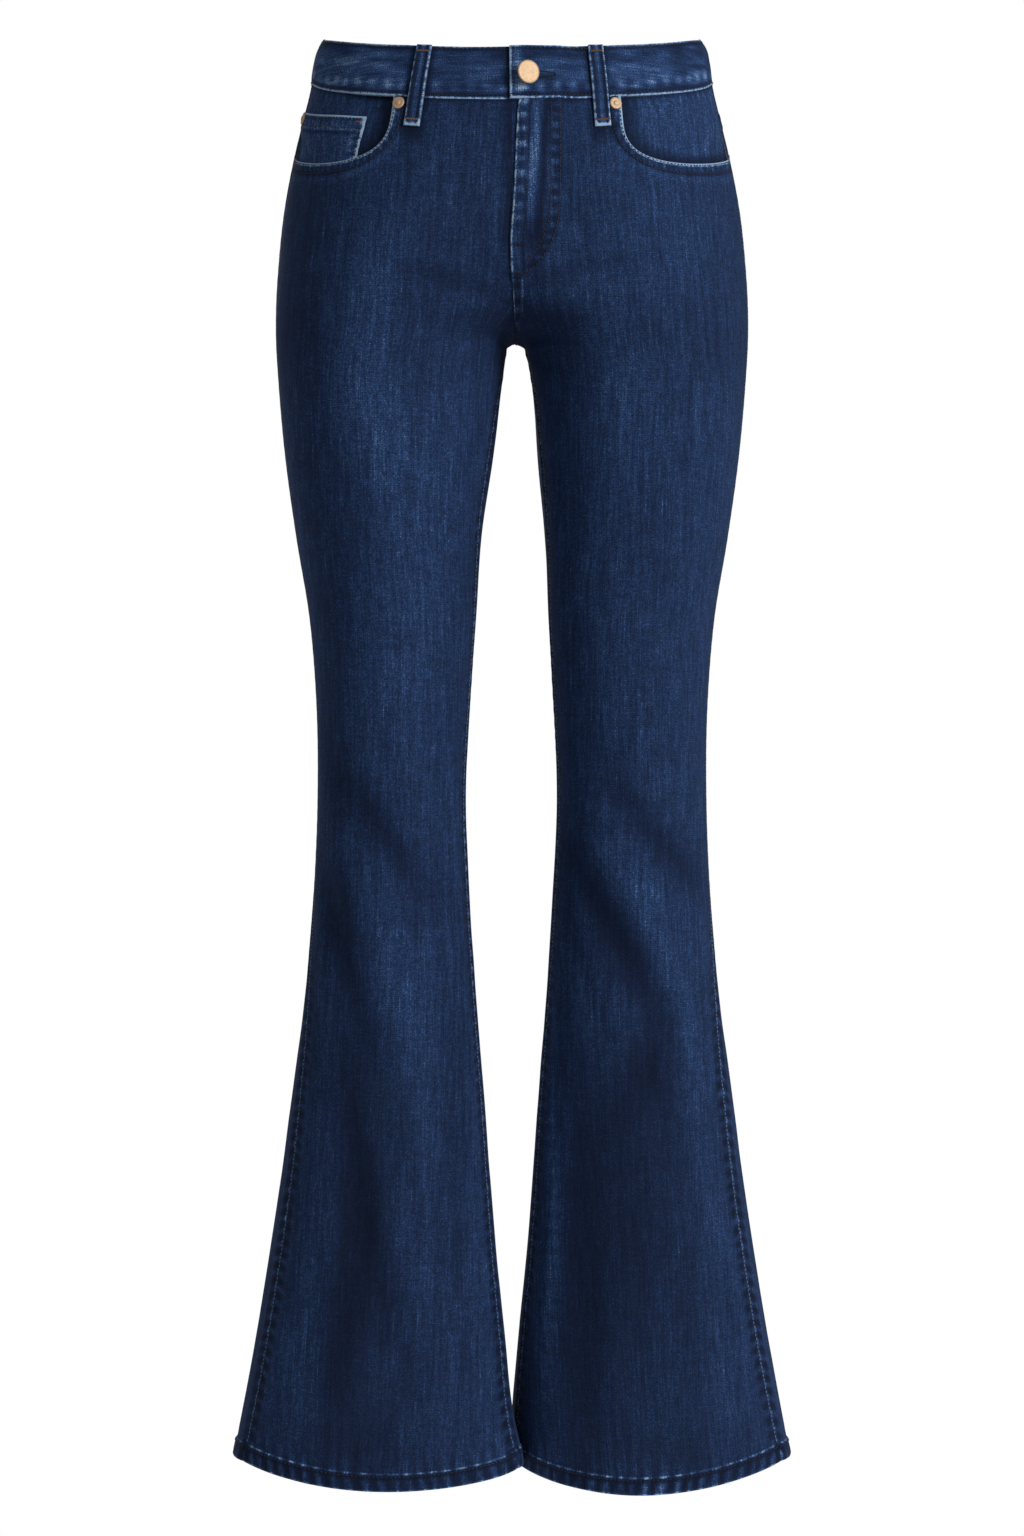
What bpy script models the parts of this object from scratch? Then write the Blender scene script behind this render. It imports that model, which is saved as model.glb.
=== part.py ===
"""Bootcut jeans, filled out as if worn, with nobody in them.

Metres, +Z up. The front faces -Y and the wearer's right leg is at -X. The origin is the middle of the
waistband's ring, where the wearer holds the garment up.

Every piece of cloth is a wall on one smooth skin. A place on the skin is given by its half of the body
(RIGHT or LEFT), its face (FRONT or BACK), how far across the face it lies (0 at the side seam, 1 at the
centre seam or the inseam) and its height. A "lift" is a distance out of the skin, along its normal.
"""

import math

import bmesh
import bpy
import numpy as np

RIGHT, LEFT = -1, 1
FRONT, BACK = 1, -1
SIDE_NAMES = {RIGHT: "right", LEFT: "left"}

# ------------------------------------------------------------------ driving sizes

WAIST_TO_CROTCH = 0.209
HEM_HEIGHT = -1.0537
SECTION_POWER = 2.1
SECTION_SAMPLES = 121

CLOTH = 0.0014
SEAM_GAP = 0.0003
WAIST_GAP = 0.0006
LAYER_GAP = 0.0003

# The body of the garment. "outer" is the half width from the centre plane, "full" how far out the front
# and back are fullest, "crease" how far out a leg's pressed line would run, "side" the depth where the
# side turns, "front" and "back" the fullest depths.
SHAPE_COLUMNS = ("height", "outer", "full", "crease", "side", "front", "back")
SHAPE = np.array([
    (0.030, 0.1394, 0.0000, 0.0740, 0.004, -0.0860, 0.0870),
    (0.018, 0.1426, 0.0000, 0.0750, 0.004, -0.0890, 0.0920),
    (0.010, 0.1474, 0.0000, 0.0760, 0.005, -0.0905, 0.0945),
    (0.000, 0.1502, 0.0000, 0.0770, 0.005, -0.0920, 0.0970),
    (-0.018, 0.1526, 0.0000, 0.0785, 0.006, -0.0950, 0.1010),
    (-0.040, 0.1578, 0.0060, 0.0805, 0.007, -0.0980, 0.1060),
    (-0.075, 0.1662, 0.0250, 0.0830, 0.009, -0.1020, 0.1160),
    (-0.115, 0.1736, 0.0480, 0.0850, 0.011, -0.1040, 0.1280),
    (-0.150, 0.1773, 0.0660, 0.0870, 0.011, -0.1020, 0.1340),
    (-0.180, 0.1791, 0.0820, 0.0890, 0.009, -0.0980, 0.1300),
    (-0.209, 0.1792, 0.0905, 0.0905, 0.007, -0.0950, 0.1180),
    (-0.240, 0.1773, 0.0944, 0.0944, 0.005, -0.0930, 0.1040),
    (-0.300, 0.1717, 0.0945, 0.0945, 0.003, -0.0900, 0.0920),
    (-0.360, 0.1633, 0.0936, 0.0936, 0.001, -0.0860, 0.0840),
    (-0.420, 0.1534, 0.0904, 0.0904, 0.000, -0.0800, 0.0750),
    (-0.480, 0.1484, 0.0897, 0.0897, 0.000, -0.0740, 0.0670),
    (-0.560, 0.1473, 0.0909, 0.0909, 0.000, -0.0680, 0.0600),
    (-0.640, 0.1510, 0.0911, 0.0911, 0.003, -0.0630, 0.0660),
    (-0.720, 0.1588, 0.0922, 0.0922, 0.004, -0.0610, 0.0720),
    (-0.780, 0.1668, 0.0938, 0.0938, 0.004, -0.0620, 0.0730),
    (-0.840, 0.1747, 0.0955, 0.0955, 0.004, -0.0640, 0.0720),
    (-0.900, 0.1837, 0.0976, 0.0976, 0.003, -0.0670, 0.0700),
    (-0.960, 0.1936, 0.0996, 0.0996, 0.002, -0.0700, 0.0690),
    (-1.020, 0.2045, 0.1022, 0.1022, 0.001, -0.0730, 0.0690),
    (-1.056, 0.2117, 0.1047, 0.1047, 0.000, -0.0745, 0.0690),
    (-1.075, 0.2155, 0.1060, 0.1060, 0.000, -0.0750, 0.0690),
])

# The inside of the legs: how far each leg's inner edge stays from the centre plane, below the crotch.
INNER_COLUMNS = ("height", "right", "left")
INNER = np.array([
    (-0.209, 0.0000, 0.0000),
    (-0.212, 0.0050, 0.0050),
    (-0.220, 0.0078, 0.0078),
    (-0.240, 0.0108, 0.0108),
    (-0.300, 0.0173, 0.0173),
    (-0.360, 0.0239, 0.0239),
    (-0.420, 0.0273, 0.0273),
    (-0.480, 0.0310, 0.0310),
    (-0.560, 0.0345, 0.0345),
    (-0.640, 0.0312, 0.0312),
    (-0.720, 0.0256, 0.0256),
    (-0.780, 0.0207, 0.0207),
    (-0.840, 0.0164, 0.0164),
    (-0.900, 0.0115, 0.0115),
    (-0.960, 0.0055, 0.0055),
    (-1.020, -0.0010, 0.0005),
    (-1.056, -0.0080, -0.0015),
    (-1.075, -0.0095, -0.0020),
])

# The flares swing past each other at the hem: the right leg's inner edge comes forward.
SWING_COLUMNS = ("height", "swing")
SWING = np.array([
    (0.030, 0.000),
    (-0.780, 0.000),
    (-0.840, 0.001),
    (-0.900, 0.005),
    (-0.960, 0.013),
    (-1.020, 0.022),
    (-1.056, 0.027),
    (-1.075, 0.028),
])

# Where the seams lie, as degrees round the section towards the front.
SEAM_COLUMNS = ("height", "side_seam", "inseam")
SEAMS = np.array([
    (0.030, 11.0, 0.0),
    (-0.080, 9.0, 0.0),
    (-0.150, 5.0, 0.0),
    (-0.209, 4.0, 0.0),
    (-0.240, 4.0, 8.0),
    (-0.450, 4.0, 12.0),
    (-0.600, 6.0, 13.0),
    (-0.750, 25.0, 14.0),
    (-0.940, 28.0, 16.0),
    (-1.075, 24.0, 16.0),
])

# The centre line strays a little from the middle of the body.
CENTRE_COLUMNS = ("height", "stray")
CENTRE = np.array([
    (0.030, -0.0010),
    (-0.070, 0.0000),
    (-0.115, -0.0004),
    (-0.155, -0.0018),
    (-0.180, 0.0000),
    (-0.209, 0.0026),
    (-0.360, 0.0010),
    (-0.450, 0.0000),
    (-1.075, 0.0000),
])

FRONT_RISE_BEND = 0.055
BACK_RISE_BEND = 0.085
RISE_POWER = 2.2
SEAT_CLEFT = 0.10
SEAT_CLEFT_TOP = -0.040
SEAT_CLEFT_FULL = -0.130

# Waistband
BAND_ROWS = (0.0, 0.16, 0.34, 0.60, 1.0)
BAND_WIDTH_SIDE = 0.0363
BAND_TOP_SIDE = 0.0180
BAND_TURN_POWER = 2.6
BAND_FRONT_DROP = 0.0254
BAND_FRONT_WIDEN = 0.0032
BAND_BACK_RISE = 0.0140
BAND_OUT = 0.0008
BAND_THICKNESS = 0.0024
BAND_MEASURED_AT = -0.020
BAND_UNDERLAP = 0.030
BAND_TAB_PAST_CENTRE = 0.0015
BAND_OVERLAP_EASE = 0.018
BAND_COLUMNS = {"right": 14, "left": 11, "back": 12}
BAND_LAP_COLUMNS = 6
BAND_EASE_COLUMNS = 3

# Front pockets. "across" is where the mouth meets the waist seam, "depth" how far down the side seam it
# ends, and "power" how square its corner is.
MOUTH = {RIGHT: {"across": 0.470, "depth": 0.0545, "power": 3.7},
         LEFT: {"across": 0.507, "depth": 0.0543, "power": 4.3}}
MOUTH_UNDERLAP = 1.20
FACING_DIP_START = 0.50
FACING_DIP_END = 0.88
FACING_GAP = 0.0007
COIN_POCKET_CLOTH = 0.0010
COIN_POCKET_GAP = 0.0005
COIN_POCKET_ACROSS = 0.372
COIN_POCKET_NARROWING = 0.012
COIN_POCKET_DROP = 0.0205
COIN_POCKET_RISE = 0.0045
COIN_POCKET_END = 1.12

# Fly
FLY_WIDTH = 0.0368
FLY_BOTTOM = -0.176
FLY_EDGE_TOP = 0.0055
FLY_EDGE_BOTTOM = 0.0004
FLY_THICKNESS = 0.0011
FLY_THINNING = 0.45
FLY_CURVE_START = -0.128
FLY_CURVE_END = 0.97
FLY_ROWS = 16
FLY_COLUMNS = 6

# Back
YOKE_SIDE = -0.048
YOKE_CENTRE = -0.078
BACK_POCKET_MIDDLE = 0.150
BACK_POCKET_WIDTH = 0.130
BACK_POCKET_TOP = -0.084
BACK_POCKET_SIDE_DROP = 0.110
BACK_POCKET_POINT_DROP = 0.130
BACK_POCKET_TAPER = 0.86
BACK_POCKET_TILT = -0.010
BACK_POCKET_LIFT = 0.0006

# Belt loops: half, face, and the distance of the loop's middle from the centre seam at top and bottom.
LOOPS = {
    "belt_loop_front_right": (RIGHT, FRONT, 0.0650, 0.0706),
    "belt_loop_front_left": (LEFT, FRONT, 0.0625, 0.0642),
    "belt_loop_back_right": (RIGHT, BACK, 0.1120, 0.1120),
    "belt_loop_back_left": (LEFT, BACK, 0.1120, 0.1120),
    "belt_loop_back_centre": (LEFT, BACK, 0.0000, 0.0000),
}
LOOP_WIDTH = 0.0115
LOOP_THICKNESS = 0.0016
LOOP_TAIL = 0.0222
LOOP_BOW = 0.0009
LOOP_ROWS = (0.0, 0.10, 0.24, 0.42, 0.58, 0.68, 0.78, 0.90, 1.0)
LOOP_COLUMN_SPREAD = (0.5, 0.17, -0.17, -0.5)
LOOP_SETTLE = (0.02, 0.93)

# Metal
BUTTON_DIAMETER = 0.0172
BUTTON_OUT_FROM_CENTRE = 0.0115
BUTTON_BELOW_TOP = 0.0220
BUTTON_TILT = math.radians(24.0)
BUTTON_STEM = 0.0042
BUTTON_CLEAR = 0.0004
BUTTON_HEAD = 0.0022
BUTTON_SEGMENTS = 28
BUTTON_PROFILE = ((0.90, 0.08), (1.0, 0.35), (1.0, 0.62), (0.94, 0.92), (0.87, 0.86), (0.5, 0.98), (0.0, 1.0))
BUTTONHOLE_LENGTH = 0.0200
BUTTONHOLE_EYE = 0.0062
BUTTONHOLE_SLIT = 0.0022
BUTTONHOLE_SIDES = 12
BUTTONHOLE_POINT = 0.6
BUTTONHOLE_MIDDLE = 0.0015
BUTTONHOLE_REACH = (-0.0080, 0.00185)
RIVET_DIAMETER = 0.0093
RIVET_HEIGHT = 0.0012
RIVET_SEGMENTS = 20
RIVET_PROFILE = ((0.0, 0.0), (0.96, 0.0), (1.0, 0.35), (0.90, 0.85), (0.62, 1.0), (0.39, 0.92), (0.31, 1.5),
                 (0.0, 1.6))
RIVET_BELOW_BAND = 0.0058
RIVET_PAST_MOUTH = 0.0047
COIN_RIVET_FROM_SIDE = 0.0055
COIN_RIVET_BELOW_BAND = 0.0268

# Hem
HEM_FOLD = 0.0125
HEM_OUT = 0.0008
HEM_INNER_DROP = {RIGHT: 0.0026, LEFT: 0.0076}
HEM_DROP = {FRONT: 0.0124, BACK: 0.0060}
HEM_BELLY_POWER = {FRONT: 1.15, BACK: 1.6}
HEM_BELLY_SKEW = 1.13

# The largest folds: soft troughs (depth below zero) and ridges. Each runs on a curve through three
# places, as fractions across its face and heights.
FOLD_COLUMNS = ("across_1", "height_1", "across_2", "height_2", "across_3", "height_3", "width", "depth")
FOLDS = {
    (RIGHT, FRONT): [
        (0.16, -0.505, 0.36, -0.580, 0.76, -0.640, 0.013, -0.0022),
        (0.14, -0.605, 0.26, -0.665, 0.40, -0.750, 0.013, -0.0034),
        (0.36, -0.625, 0.50, -0.690, 0.60, -0.800, 0.018, 0.0016),
        (0.24, -0.740, 0.34, -0.860, 0.60, -0.985, 0.017, -0.0042),
        (0.20, -0.900, 0.26, -0.980, 0.34, -1.060, 0.018, 0.0022),
        (0.60, -0.980, 0.52, -1.020, 0.44, -1.062, 0.020, -0.0022),
        (0.52, -0.168, 0.76, -0.180, 0.97, -0.192, 0.007, -0.0014),
        (0.62, -0.212, 0.80, -0.204, 0.97, -0.199, 0.006, -0.0012),
    ],
    (LEFT, FRONT): [
        (0.66, -0.545, 0.40, -0.600, 0.10, -0.625, 0.013, -0.0026),
        (0.86, -0.590, 0.62, -0.660, 0.40, -0.715, 0.014, -0.0036),
        (0.40, -0.715, 0.42, -0.760, 0.62, -0.800, 0.016, -0.0026),
        (0.60, -0.600, 0.34, -0.680, 0.22, -0.760, 0.020, 0.0020),
        (0.74, -0.760, 0.74, -0.900, 0.70, -1.062, 0.020, -0.0046),
        (0.36, -0.800, 0.34, -0.930, 0.30, -1.062, 0.026, 0.0022),
        (0.97, -0.176, 0.78, -0.172, 0.50, -0.164, 0.007, -0.0014),
        (0.97, -0.197, 0.82, -0.206, 0.62, -0.210, 0.006, -0.0014),
    ],
    (RIGHT, BACK): [
        (0.30, -0.236, 0.60, -0.232, 0.88, -0.222, 0.010, -0.0026),
        (0.20, -0.560, 0.50, -0.585, 0.80, -0.565, 0.013, -0.0030),
        (0.26, -0.640, 0.50, -0.625, 0.72, -0.640, 0.012, -0.0022),
        (0.40, -0.720, 0.34, -0.880, 0.28, -1.058, 0.020, -0.0036),
        (0.72, -0.800, 0.70, -0.930, 0.66, -1.058, 0.020, -0.0030),
    ],
    (LEFT, BACK): [
        (0.28, -0.232, 0.60, -0.236, 0.88, -0.224, 0.010, -0.0026),
        (0.22, -0.575, 0.50, -0.570, 0.78, -0.590, 0.013, -0.0030),
        (0.30, -0.625, 0.52, -0.650, 0.74, -0.640, 0.012, -0.0022),
        (0.46, -0.740, 0.40, -0.890, 0.36, -1.058, 0.020, -0.0034),
        (0.76, -0.780, 0.74, -0.930, 0.72, -1.058, 0.020, -0.0032),
    ],
}
FOLD_STEPS = 25
FOLD_FADE = 0.10
NORMAL_STEP = 0.002

# How finely the walls are divided
PANEL_COLUMNS = {FRONT: 18, BACK: 14}
TOP_ZONE_ROWS = 6
TOP_ZONE_END = -0.124
SEAT_ROWS = 3
LEG_ROWS = 22
MOUTH_COLUMN_SHARE = 0.56
YOKE_ROWS = 4
FACING_COLUMNS = 9
FACING_ROWS = 7
FACING_INNER_TURN = math.radians(83)
COIN_COLUMNS = 7
COIN_ROWS = 6
BACK_POCKET_COLUMNS = 9
BACK_POCKET_ROWS = 10
CROTCH_ROWS = (0.028, 0.016, 0.008, 0.003, 0.0, -0.004, -0.011)

# Colours, roughness and metal of the finishes
DENIM = (0.012, 0.026, 0.070, 1.0)
DENIM_DARK = (0.009, 0.018, 0.046, 1.0)
DENIM_LIGHT = (0.020, 0.044, 0.105, 1.0)
PALE_GOLD = (0.78, 0.55, 0.30, 1.0)
CLOTH_ROUGHNESS = 0.85
METAL_ROUGHNESS = 0.32


# ------------------------------------------------------------------ the skin

def read_table(table, columns, name, height):
    """One named column at any height, on a smooth curve through the table's rows."""
    rows = table[::-1]
    known = rows[:, 0]
    value = rows[:, columns.index(name)]
    slope = np.gradient(value, known)
    height = np.clip(height, known[0], known[-1])
    below = np.clip(np.searchsorted(known, height) - 1, 0, len(known) - 2)
    step = known[below + 1] - known[below]
    t = (height - known[below]) / step
    keep = 2 * t**3 - 3 * t**2 + 1
    bend_in = t**3 - 2 * t**2 + t
    bend_out = t**3 - t**2
    return (keep * value[below] + (1 - keep) * value[below + 1]
            + step * (bend_in * slope[below] + bend_out * slope[below + 1]))


def shape(name, height):
    return read_table(SHAPE, SHAPE_COLUMNS, name, height)


def eased(value, start, end):
    """0 before start, 1 past end, and smooth between them."""
    t = np.clip((value - start) / (end - start), 0.0, 1.0)
    return t * t * (3 - 2 * t)


def inner_reach(side, face, height):
    """How far the section runs from its fullest place towards the centre plane, and past it."""
    full = np.maximum(shape("full", height), 0.0)
    above = height + WAIST_TO_CROTCH
    bend = FRONT_RISE_BEND if face == FRONT else BACK_RISE_BEND
    climb = np.clip(above / bend, 0.0, 1.0)
    fullness = (1 - (1 - climb) ** RISE_POWER) ** (1 / RISE_POWER)
    if face == BACK:
        cleft = SEAT_CLEFT * (1 - eased(height, SEAT_CLEFT_FULL, SEAT_CLEFT_TOP))
        fullness = fullness * (1 - cleft)
    fullness = np.clip(fullness, 0.0, 0.9995)
    torso = full / (1 - fullness**SECTION_POWER) ** (1 / SECTION_POWER)
    leg = full - read_table(INNER, INNER_COLUMNS, SIDE_NAMES[side], height)
    return np.where(above > 0, torso, leg)


def section(side, face, height):
    """Points on one face of one half at each height, from the side seam to the centre or the inseam."""
    height = np.atleast_1d(height)[:, None]
    outer, turn = shape("outer", height), shape("side", height)
    full = np.maximum(shape("full", height), 0.0)
    reach = inner_reach(side, face, height)
    lead = np.radians(read_table(SEAMS, SEAM_COLUMNS, "side_seam", height))
    inset = np.radians(read_table(SEAMS, SEAM_COLUMNS, "inseam", height))
    centre_angle = np.arccos(-np.clip(full / np.maximum(reach, 1e-9), 0, 1) ** (SECTION_POWER / 2))
    in_leg = height < -WAIST_TO_CROTCH
    first = face * lead
    last = np.where(in_leg, math.pi - face * inset, centre_angle)
    angle = first + (last - first) * np.linspace(0, 1, SECTION_SAMPLES)[None, :]

    along = np.abs(np.cos(angle)) ** (2 / SECTION_POWER)
    outward = np.where(np.cos(angle) >= 0, full + (outer - full) * along, full - reach * along)
    near, far = ("front", "back") if face == FRONT else ("back", "front")
    depth = np.where(np.sin(angle) >= 0, shape(near, height) - turn, shape(far, height) - turn)
    swing = side * read_table(SWING, SWING_COLUMNS, "swing", height)
    forward = turn + depth * np.abs(np.sin(angle)) ** (2 / SECTION_POWER)
    forward = forward + np.where(np.cos(angle) < 0, swing * along**2, 0.0)
    stray = read_table(CENTRE, CENTRE_COLUMNS, "stray", height)
    sideways = side * outward + stray * (1 - np.abs(outward) / outer)
    return sideways, forward


def measured_section(side, face, height):
    """The section's points, their distance along the cloth, and where along it the crease line runs."""
    sideways, forward = section(side, face, height)
    steps = np.hypot(np.diff(sideways, axis=1), np.diff(forward, axis=1))
    run = np.concatenate([np.zeros((len(steps), 1)), np.cumsum(steps, axis=1)], axis=1)
    crease_side = side * shape("crease", height)
    crease = np.array([np.interp(side * -place, side * -row, distance)
                       for place, row, distance in zip(crease_side, sideways, run)])
    return sideways, forward, run, crease


def face_lengths(side, face, height):
    """The cloth's length across a face at each height, and its length from the side to the crease."""
    flat = np.ravel(np.asarray(height, dtype=float))
    _, _, run, crease = measured_section(side, face, flat)
    return run[:, -1].reshape(np.shape(height)), crease.reshape(np.shape(height))


def face_length(side, face, height):
    return face_lengths(side, face, height)[0]


def across_from_side(side, face, distance, height):
    """The fraction across a face at a distance from its side seam. The crease line is at one half."""
    length, crease = face_lengths(side, face, np.broadcast_to(height, np.broadcast(distance, height).shape))
    inner_part = 0.5 + 0.5 * (distance - crease) / (length - crease)
    return np.where(distance < crease, 0.5 * distance / crease, inner_part)


def distance_from_side(side, face, across, height):
    length, crease = face_lengths(side, face, np.broadcast_to(height, np.broadcast(across, height).shape))
    return np.where(across < 0.5, 2 * across * crease, crease + (2 * across - 1) * (length - crease))


def across_from_centre(side, face, distance, height):
    height = np.broadcast_to(height, np.broadcast(distance, height).shape)
    return across_from_side(side, face, face_length(side, face, height) - distance, height)


def skin(side, face, across, height):
    """Places on the plain skin, without folds."""
    across, height = np.broadcast_arrays(np.asarray(across, float), np.asarray(height, float))
    flat_across, flat_height = across.ravel(), height.ravel()
    sideways, forward, run, crease = measured_section(side, face, flat_height)
    length = run[:, -1]
    outer_part = 2 * flat_across * crease
    inner_part = crease + (2 * flat_across - 1) * (length - crease)
    distance = np.where(flat_across < 0.5, outer_part, inner_part)
    points = np.empty((len(flat_across), 3))
    for row, wanted in enumerate(distance):
        points[row, 0] = np.interp(wanted, run[row], sideways[row])
        points[row, 1] = np.interp(wanted, run[row], forward[row])
    points[:, 2] = flat_height
    return points.reshape(across.shape + (3,))


def fold_depth(side, face, across, height):
    """How far the largest folds push the cloth out (above zero) or in (below zero)."""
    length = face_length(side, face, height)
    total = np.zeros(np.shape(height))
    for row in FOLDS[(side, face)]:
        fold = dict(zip(FOLD_COLUMNS, row))
        nearest = np.full(np.shape(height), np.inf)
        where = np.zeros(np.shape(height))
        for t in np.linspace(0, 1, FOLD_STEPS):
            weights = ((1 - t) ** 2, 2 * t * (1 - t), t * t)
            path_across = sum(w * fold[f"across_{i}"] for i, w in enumerate(weights, 1))
            path_height = sum(w * fold[f"height_{i}"] for i, w in enumerate(weights, 1))
            gap = np.hypot((across - path_across) * length, height - path_height)
            closer = gap < nearest
            nearest = np.where(closer, gap, nearest)
            where = np.where(closer, t, where)
        swell = 0.35 + 0.65 * np.sin(math.pi * where)
        total += fold["depth"] * swell * np.exp(-(nearest / fold["width"]) ** 2)
    return total * eased(np.minimum(across, 1 - across), 0.0, FOLD_FADE)


def skin_normals(side, face, across, height):
    """Unit normals of the plain skin, out of the garment."""
    step_across = np.where(across < 0.5, NORMAL_STEP, -NORMAL_STEP)
    here = skin(side, face, across, height)
    over = (skin(side, face, across + step_across, height) - here) * np.sign(step_across)[..., None]
    down = skin(side, face, across, height - NORMAL_STEP / 4) - here
    normal = np.cross(over, down) * side * face
    return normal / np.linalg.norm(normal, axis=-1, keepdims=True)


def cloth_grid(side, face, across, height):
    """A grid on the folded cloth, and the skin's normals there."""
    across, height = np.broadcast_arrays(across, height)
    normals = skin_normals(side, face, across, height)
    depth = fold_depth(side, face, across, height)
    return skin(side, face, across, height) + normals * depth[..., None], normals


# ------------------------------------------------------------------ meshes and finishes

def finish(name, colour, roughness=CLOTH_ROUGHNESS, metallic=0.0):
    material = bpy.data.materials.new(name)
    material.use_nodes = True
    shader = material.node_tree.nodes["Principled BSDF"]
    shader.inputs["Base Color"].default_value = colour
    shader.inputs["Roughness"].default_value = roughness
    shader.inputs["Metallic"].default_value = metallic
    material.diffuse_color = colour
    return material


def add_object(name, vertices, faces, material, smooth_angle=40.0):
    mesh = bpy.data.meshes.new(name)
    mesh.from_pydata([tuple(v) for v in vertices], [], faces)
    mesh.materials.append(material)
    form = bmesh.new()
    form.from_mesh(mesh)
    bmesh.ops.recalc_face_normals(form, faces=form.faces)
    form.to_mesh(mesh)
    form.free()
    mesh.shade_smooth()
    mesh.set_sharp_from_angle(angle=math.radians(smooth_angle))
    made = bpy.data.objects.new(name, mesh)
    bpy.context.scene.collection.objects.link(made)
    return made


def wall(name, points, normals, outer_lift, inner_lift, material):
    """A closed wall of cloth between two lifts of the same grid."""
    rows, columns = points.shape[:2]
    outer_lift = np.broadcast_to(outer_lift, (rows, columns))[..., None]
    inner_lift = np.broadcast_to(inner_lift, (rows, columns))[..., None]
    outer = (points + normals * outer_lift).reshape(-1, 3)
    inner = (points + normals * inner_lift).reshape(-1, 3)
    count = rows * columns

    def at(row, column):
        return row * columns + column

    faces = []
    for row in range(rows - 1):
        for column in range(columns - 1):
            quad = (at(row, column), at(row, column + 1), at(row + 1, column + 1), at(row + 1, column))
            faces.append(quad)
            faces.append(tuple(count + index for index in reversed(quad)))
    rim = [at(0, column) for column in range(columns)]
    rim += [at(row, columns - 1) for row in range(1, rows)]
    rim += [at(rows - 1, column) for column in range(columns - 2, -1, -1)]
    rim += [at(row, 0) for row in range(rows - 2, 0, -1)]
    for first, second in zip(rim, rim[1:] + rim[:1]):
        faces.append((second, first, count + first, count + second))
    return add_object(name, np.concatenate([outer, inner]), faces, material)


def turned(name, profile, place, stem, material, segments, face=None):
    """A round metal piece: (radius, height) pairs turned about a stem that stands at a place.

    Rings at or above zero height lie square to the face's direction, where that leans from the stem's.
    """
    vertices, rings = [], []
    for radius, height in profile:
        axis = stem if face is None or height < 0.0 else face
        upright = np.array((0.0, 0.0, 1.0))
        first = np.cross(upright, axis)
        first /= np.linalg.norm(first)
        second = np.cross(axis, first)
        if radius == 0.0:
            rings.append([len(vertices)])
            vertices.append(axis * height)
            continue
        rings.append(list(range(len(vertices), len(vertices) + segments)))
        for step in range(segments):
            turn = 2 * math.pi * step / segments
            ring_point = first * math.cos(turn) + second * math.sin(turn)
            vertices.append(axis * height + ring_point * radius)
    faces = []
    for low, high in zip(rings, rings[1:]):
        for step in range(segments):
            following = (step + 1) % segments
            quad = [low[step % len(low)], low[following % len(low)],
                    high[following % len(high)], high[step % len(high)]]
            faces.append(tuple(dict.fromkeys(quad)))
    made = add_object(name, vertices, faces, material)
    made.location = place
    return made


# ------------------------------------------------------------------ edges of the pieces

def round_from_side(across):
    """0 at the side seam, 1 at the centre, and steepest at the side."""
    return 1 - (1 - np.clip(across, 0.0, 1.0)) ** BAND_TURN_POWER


def band_top(face, across):
    turn = round_from_side(across)
    rise = BAND_BACK_RISE if face == BACK else -BAND_FRONT_DROP
    return BAND_TOP_SIDE + rise * turn


def band_bottom(face, across):
    widen = BAND_FRONT_WIDEN * round_from_side(across) if face == FRONT else 0.0
    return band_top(face, across) - BAND_WIDTH_SIDE - widen


def yoke_seam(across):
    return YOKE_SIDE + (YOKE_CENTRE - YOKE_SIDE) * np.asarray(across)


def hem_edge(side, face, across):
    """The hem's lowest edge: it hangs lower in the middle of each face."""
    belly = np.sin(math.pi * np.clip(across, 0, 1) ** HEM_BELLY_SKEW) ** HEM_BELLY_POWER[face]
    return HEM_HEIGHT - HEM_INNER_DROP[side] * across - HEM_DROP[face] * belly


def mouth_level(side, across, height):
    """1 on the pocket mouth, less inside its opening and more under the front panel."""
    size = MOUTH[side]
    over = across / size["across"]
    below = np.maximum(band_bottom(FRONT, across) - height, 0.0) / size["depth"]
    return (over ** size["power"] + below ** size["power"]) ** (1 / size["power"])


def mouth_drop(side, across, larger=1.0):
    """How far the mouth lies below the waist seam, zero past its inner end."""
    size = MOUTH[side]
    share = np.clip(across / (size["across"] * larger), 0.0, 1.0)
    return size["depth"] * larger * (1 - share ** size["power"]) ** (1 / size["power"])


def seam_inset(side, face, height):
    """Half the gap at a seam, as a fraction across the face."""
    length, crease = face_lengths(side, face, height)
    return (SEAM_GAP / 2) / (2 * np.minimum(crease, length - crease))


def spread(first, last, count):
    return np.linspace(first, last, count)


def leg_rows():
    """Heights of the rows below the top zone, the same on every panel: closer round the crotch."""
    near = [offset - WAIST_TO_CROTCH for offset in CROTCH_ROWS]
    above = spread(TOP_ZONE_END, near[0], SEAT_ROWS + 2)[1:-1]
    below = spread(near[-1], HEM_HEIGHT + HEM_FOLD * 2, LEG_ROWS)[1:]
    return np.concatenate([above, near, below])


def panel_grid(side, face, columns_across, top):
    """A panel's grid, from its top edge to its hem, and its outer lift with the hem's turn-up."""
    zone = np.array([top + (TOP_ZONE_END - top) * t for t in spread(0, 1, TOP_ZONE_ROWS + 1)])
    middle = np.repeat(leg_rows()[:, None], len(columns_across), axis=1)
    hem = hem_edge(side, face, columns_across)
    ends = np.array([hem + HEM_FOLD + SEAM_GAP, hem + HEM_FOLD, hem + HEM_FOLD / 2, hem])
    height = np.concatenate([zone, middle, ends])
    inset = seam_inset(side, face, height)
    across = inset + (1 - 2 * inset) * columns_across[None, :]
    out = np.zeros(height.shape)
    out[-3:] = HEM_OUT
    return across, height, out


# ------------------------------------------------------------------ the pieces

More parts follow.
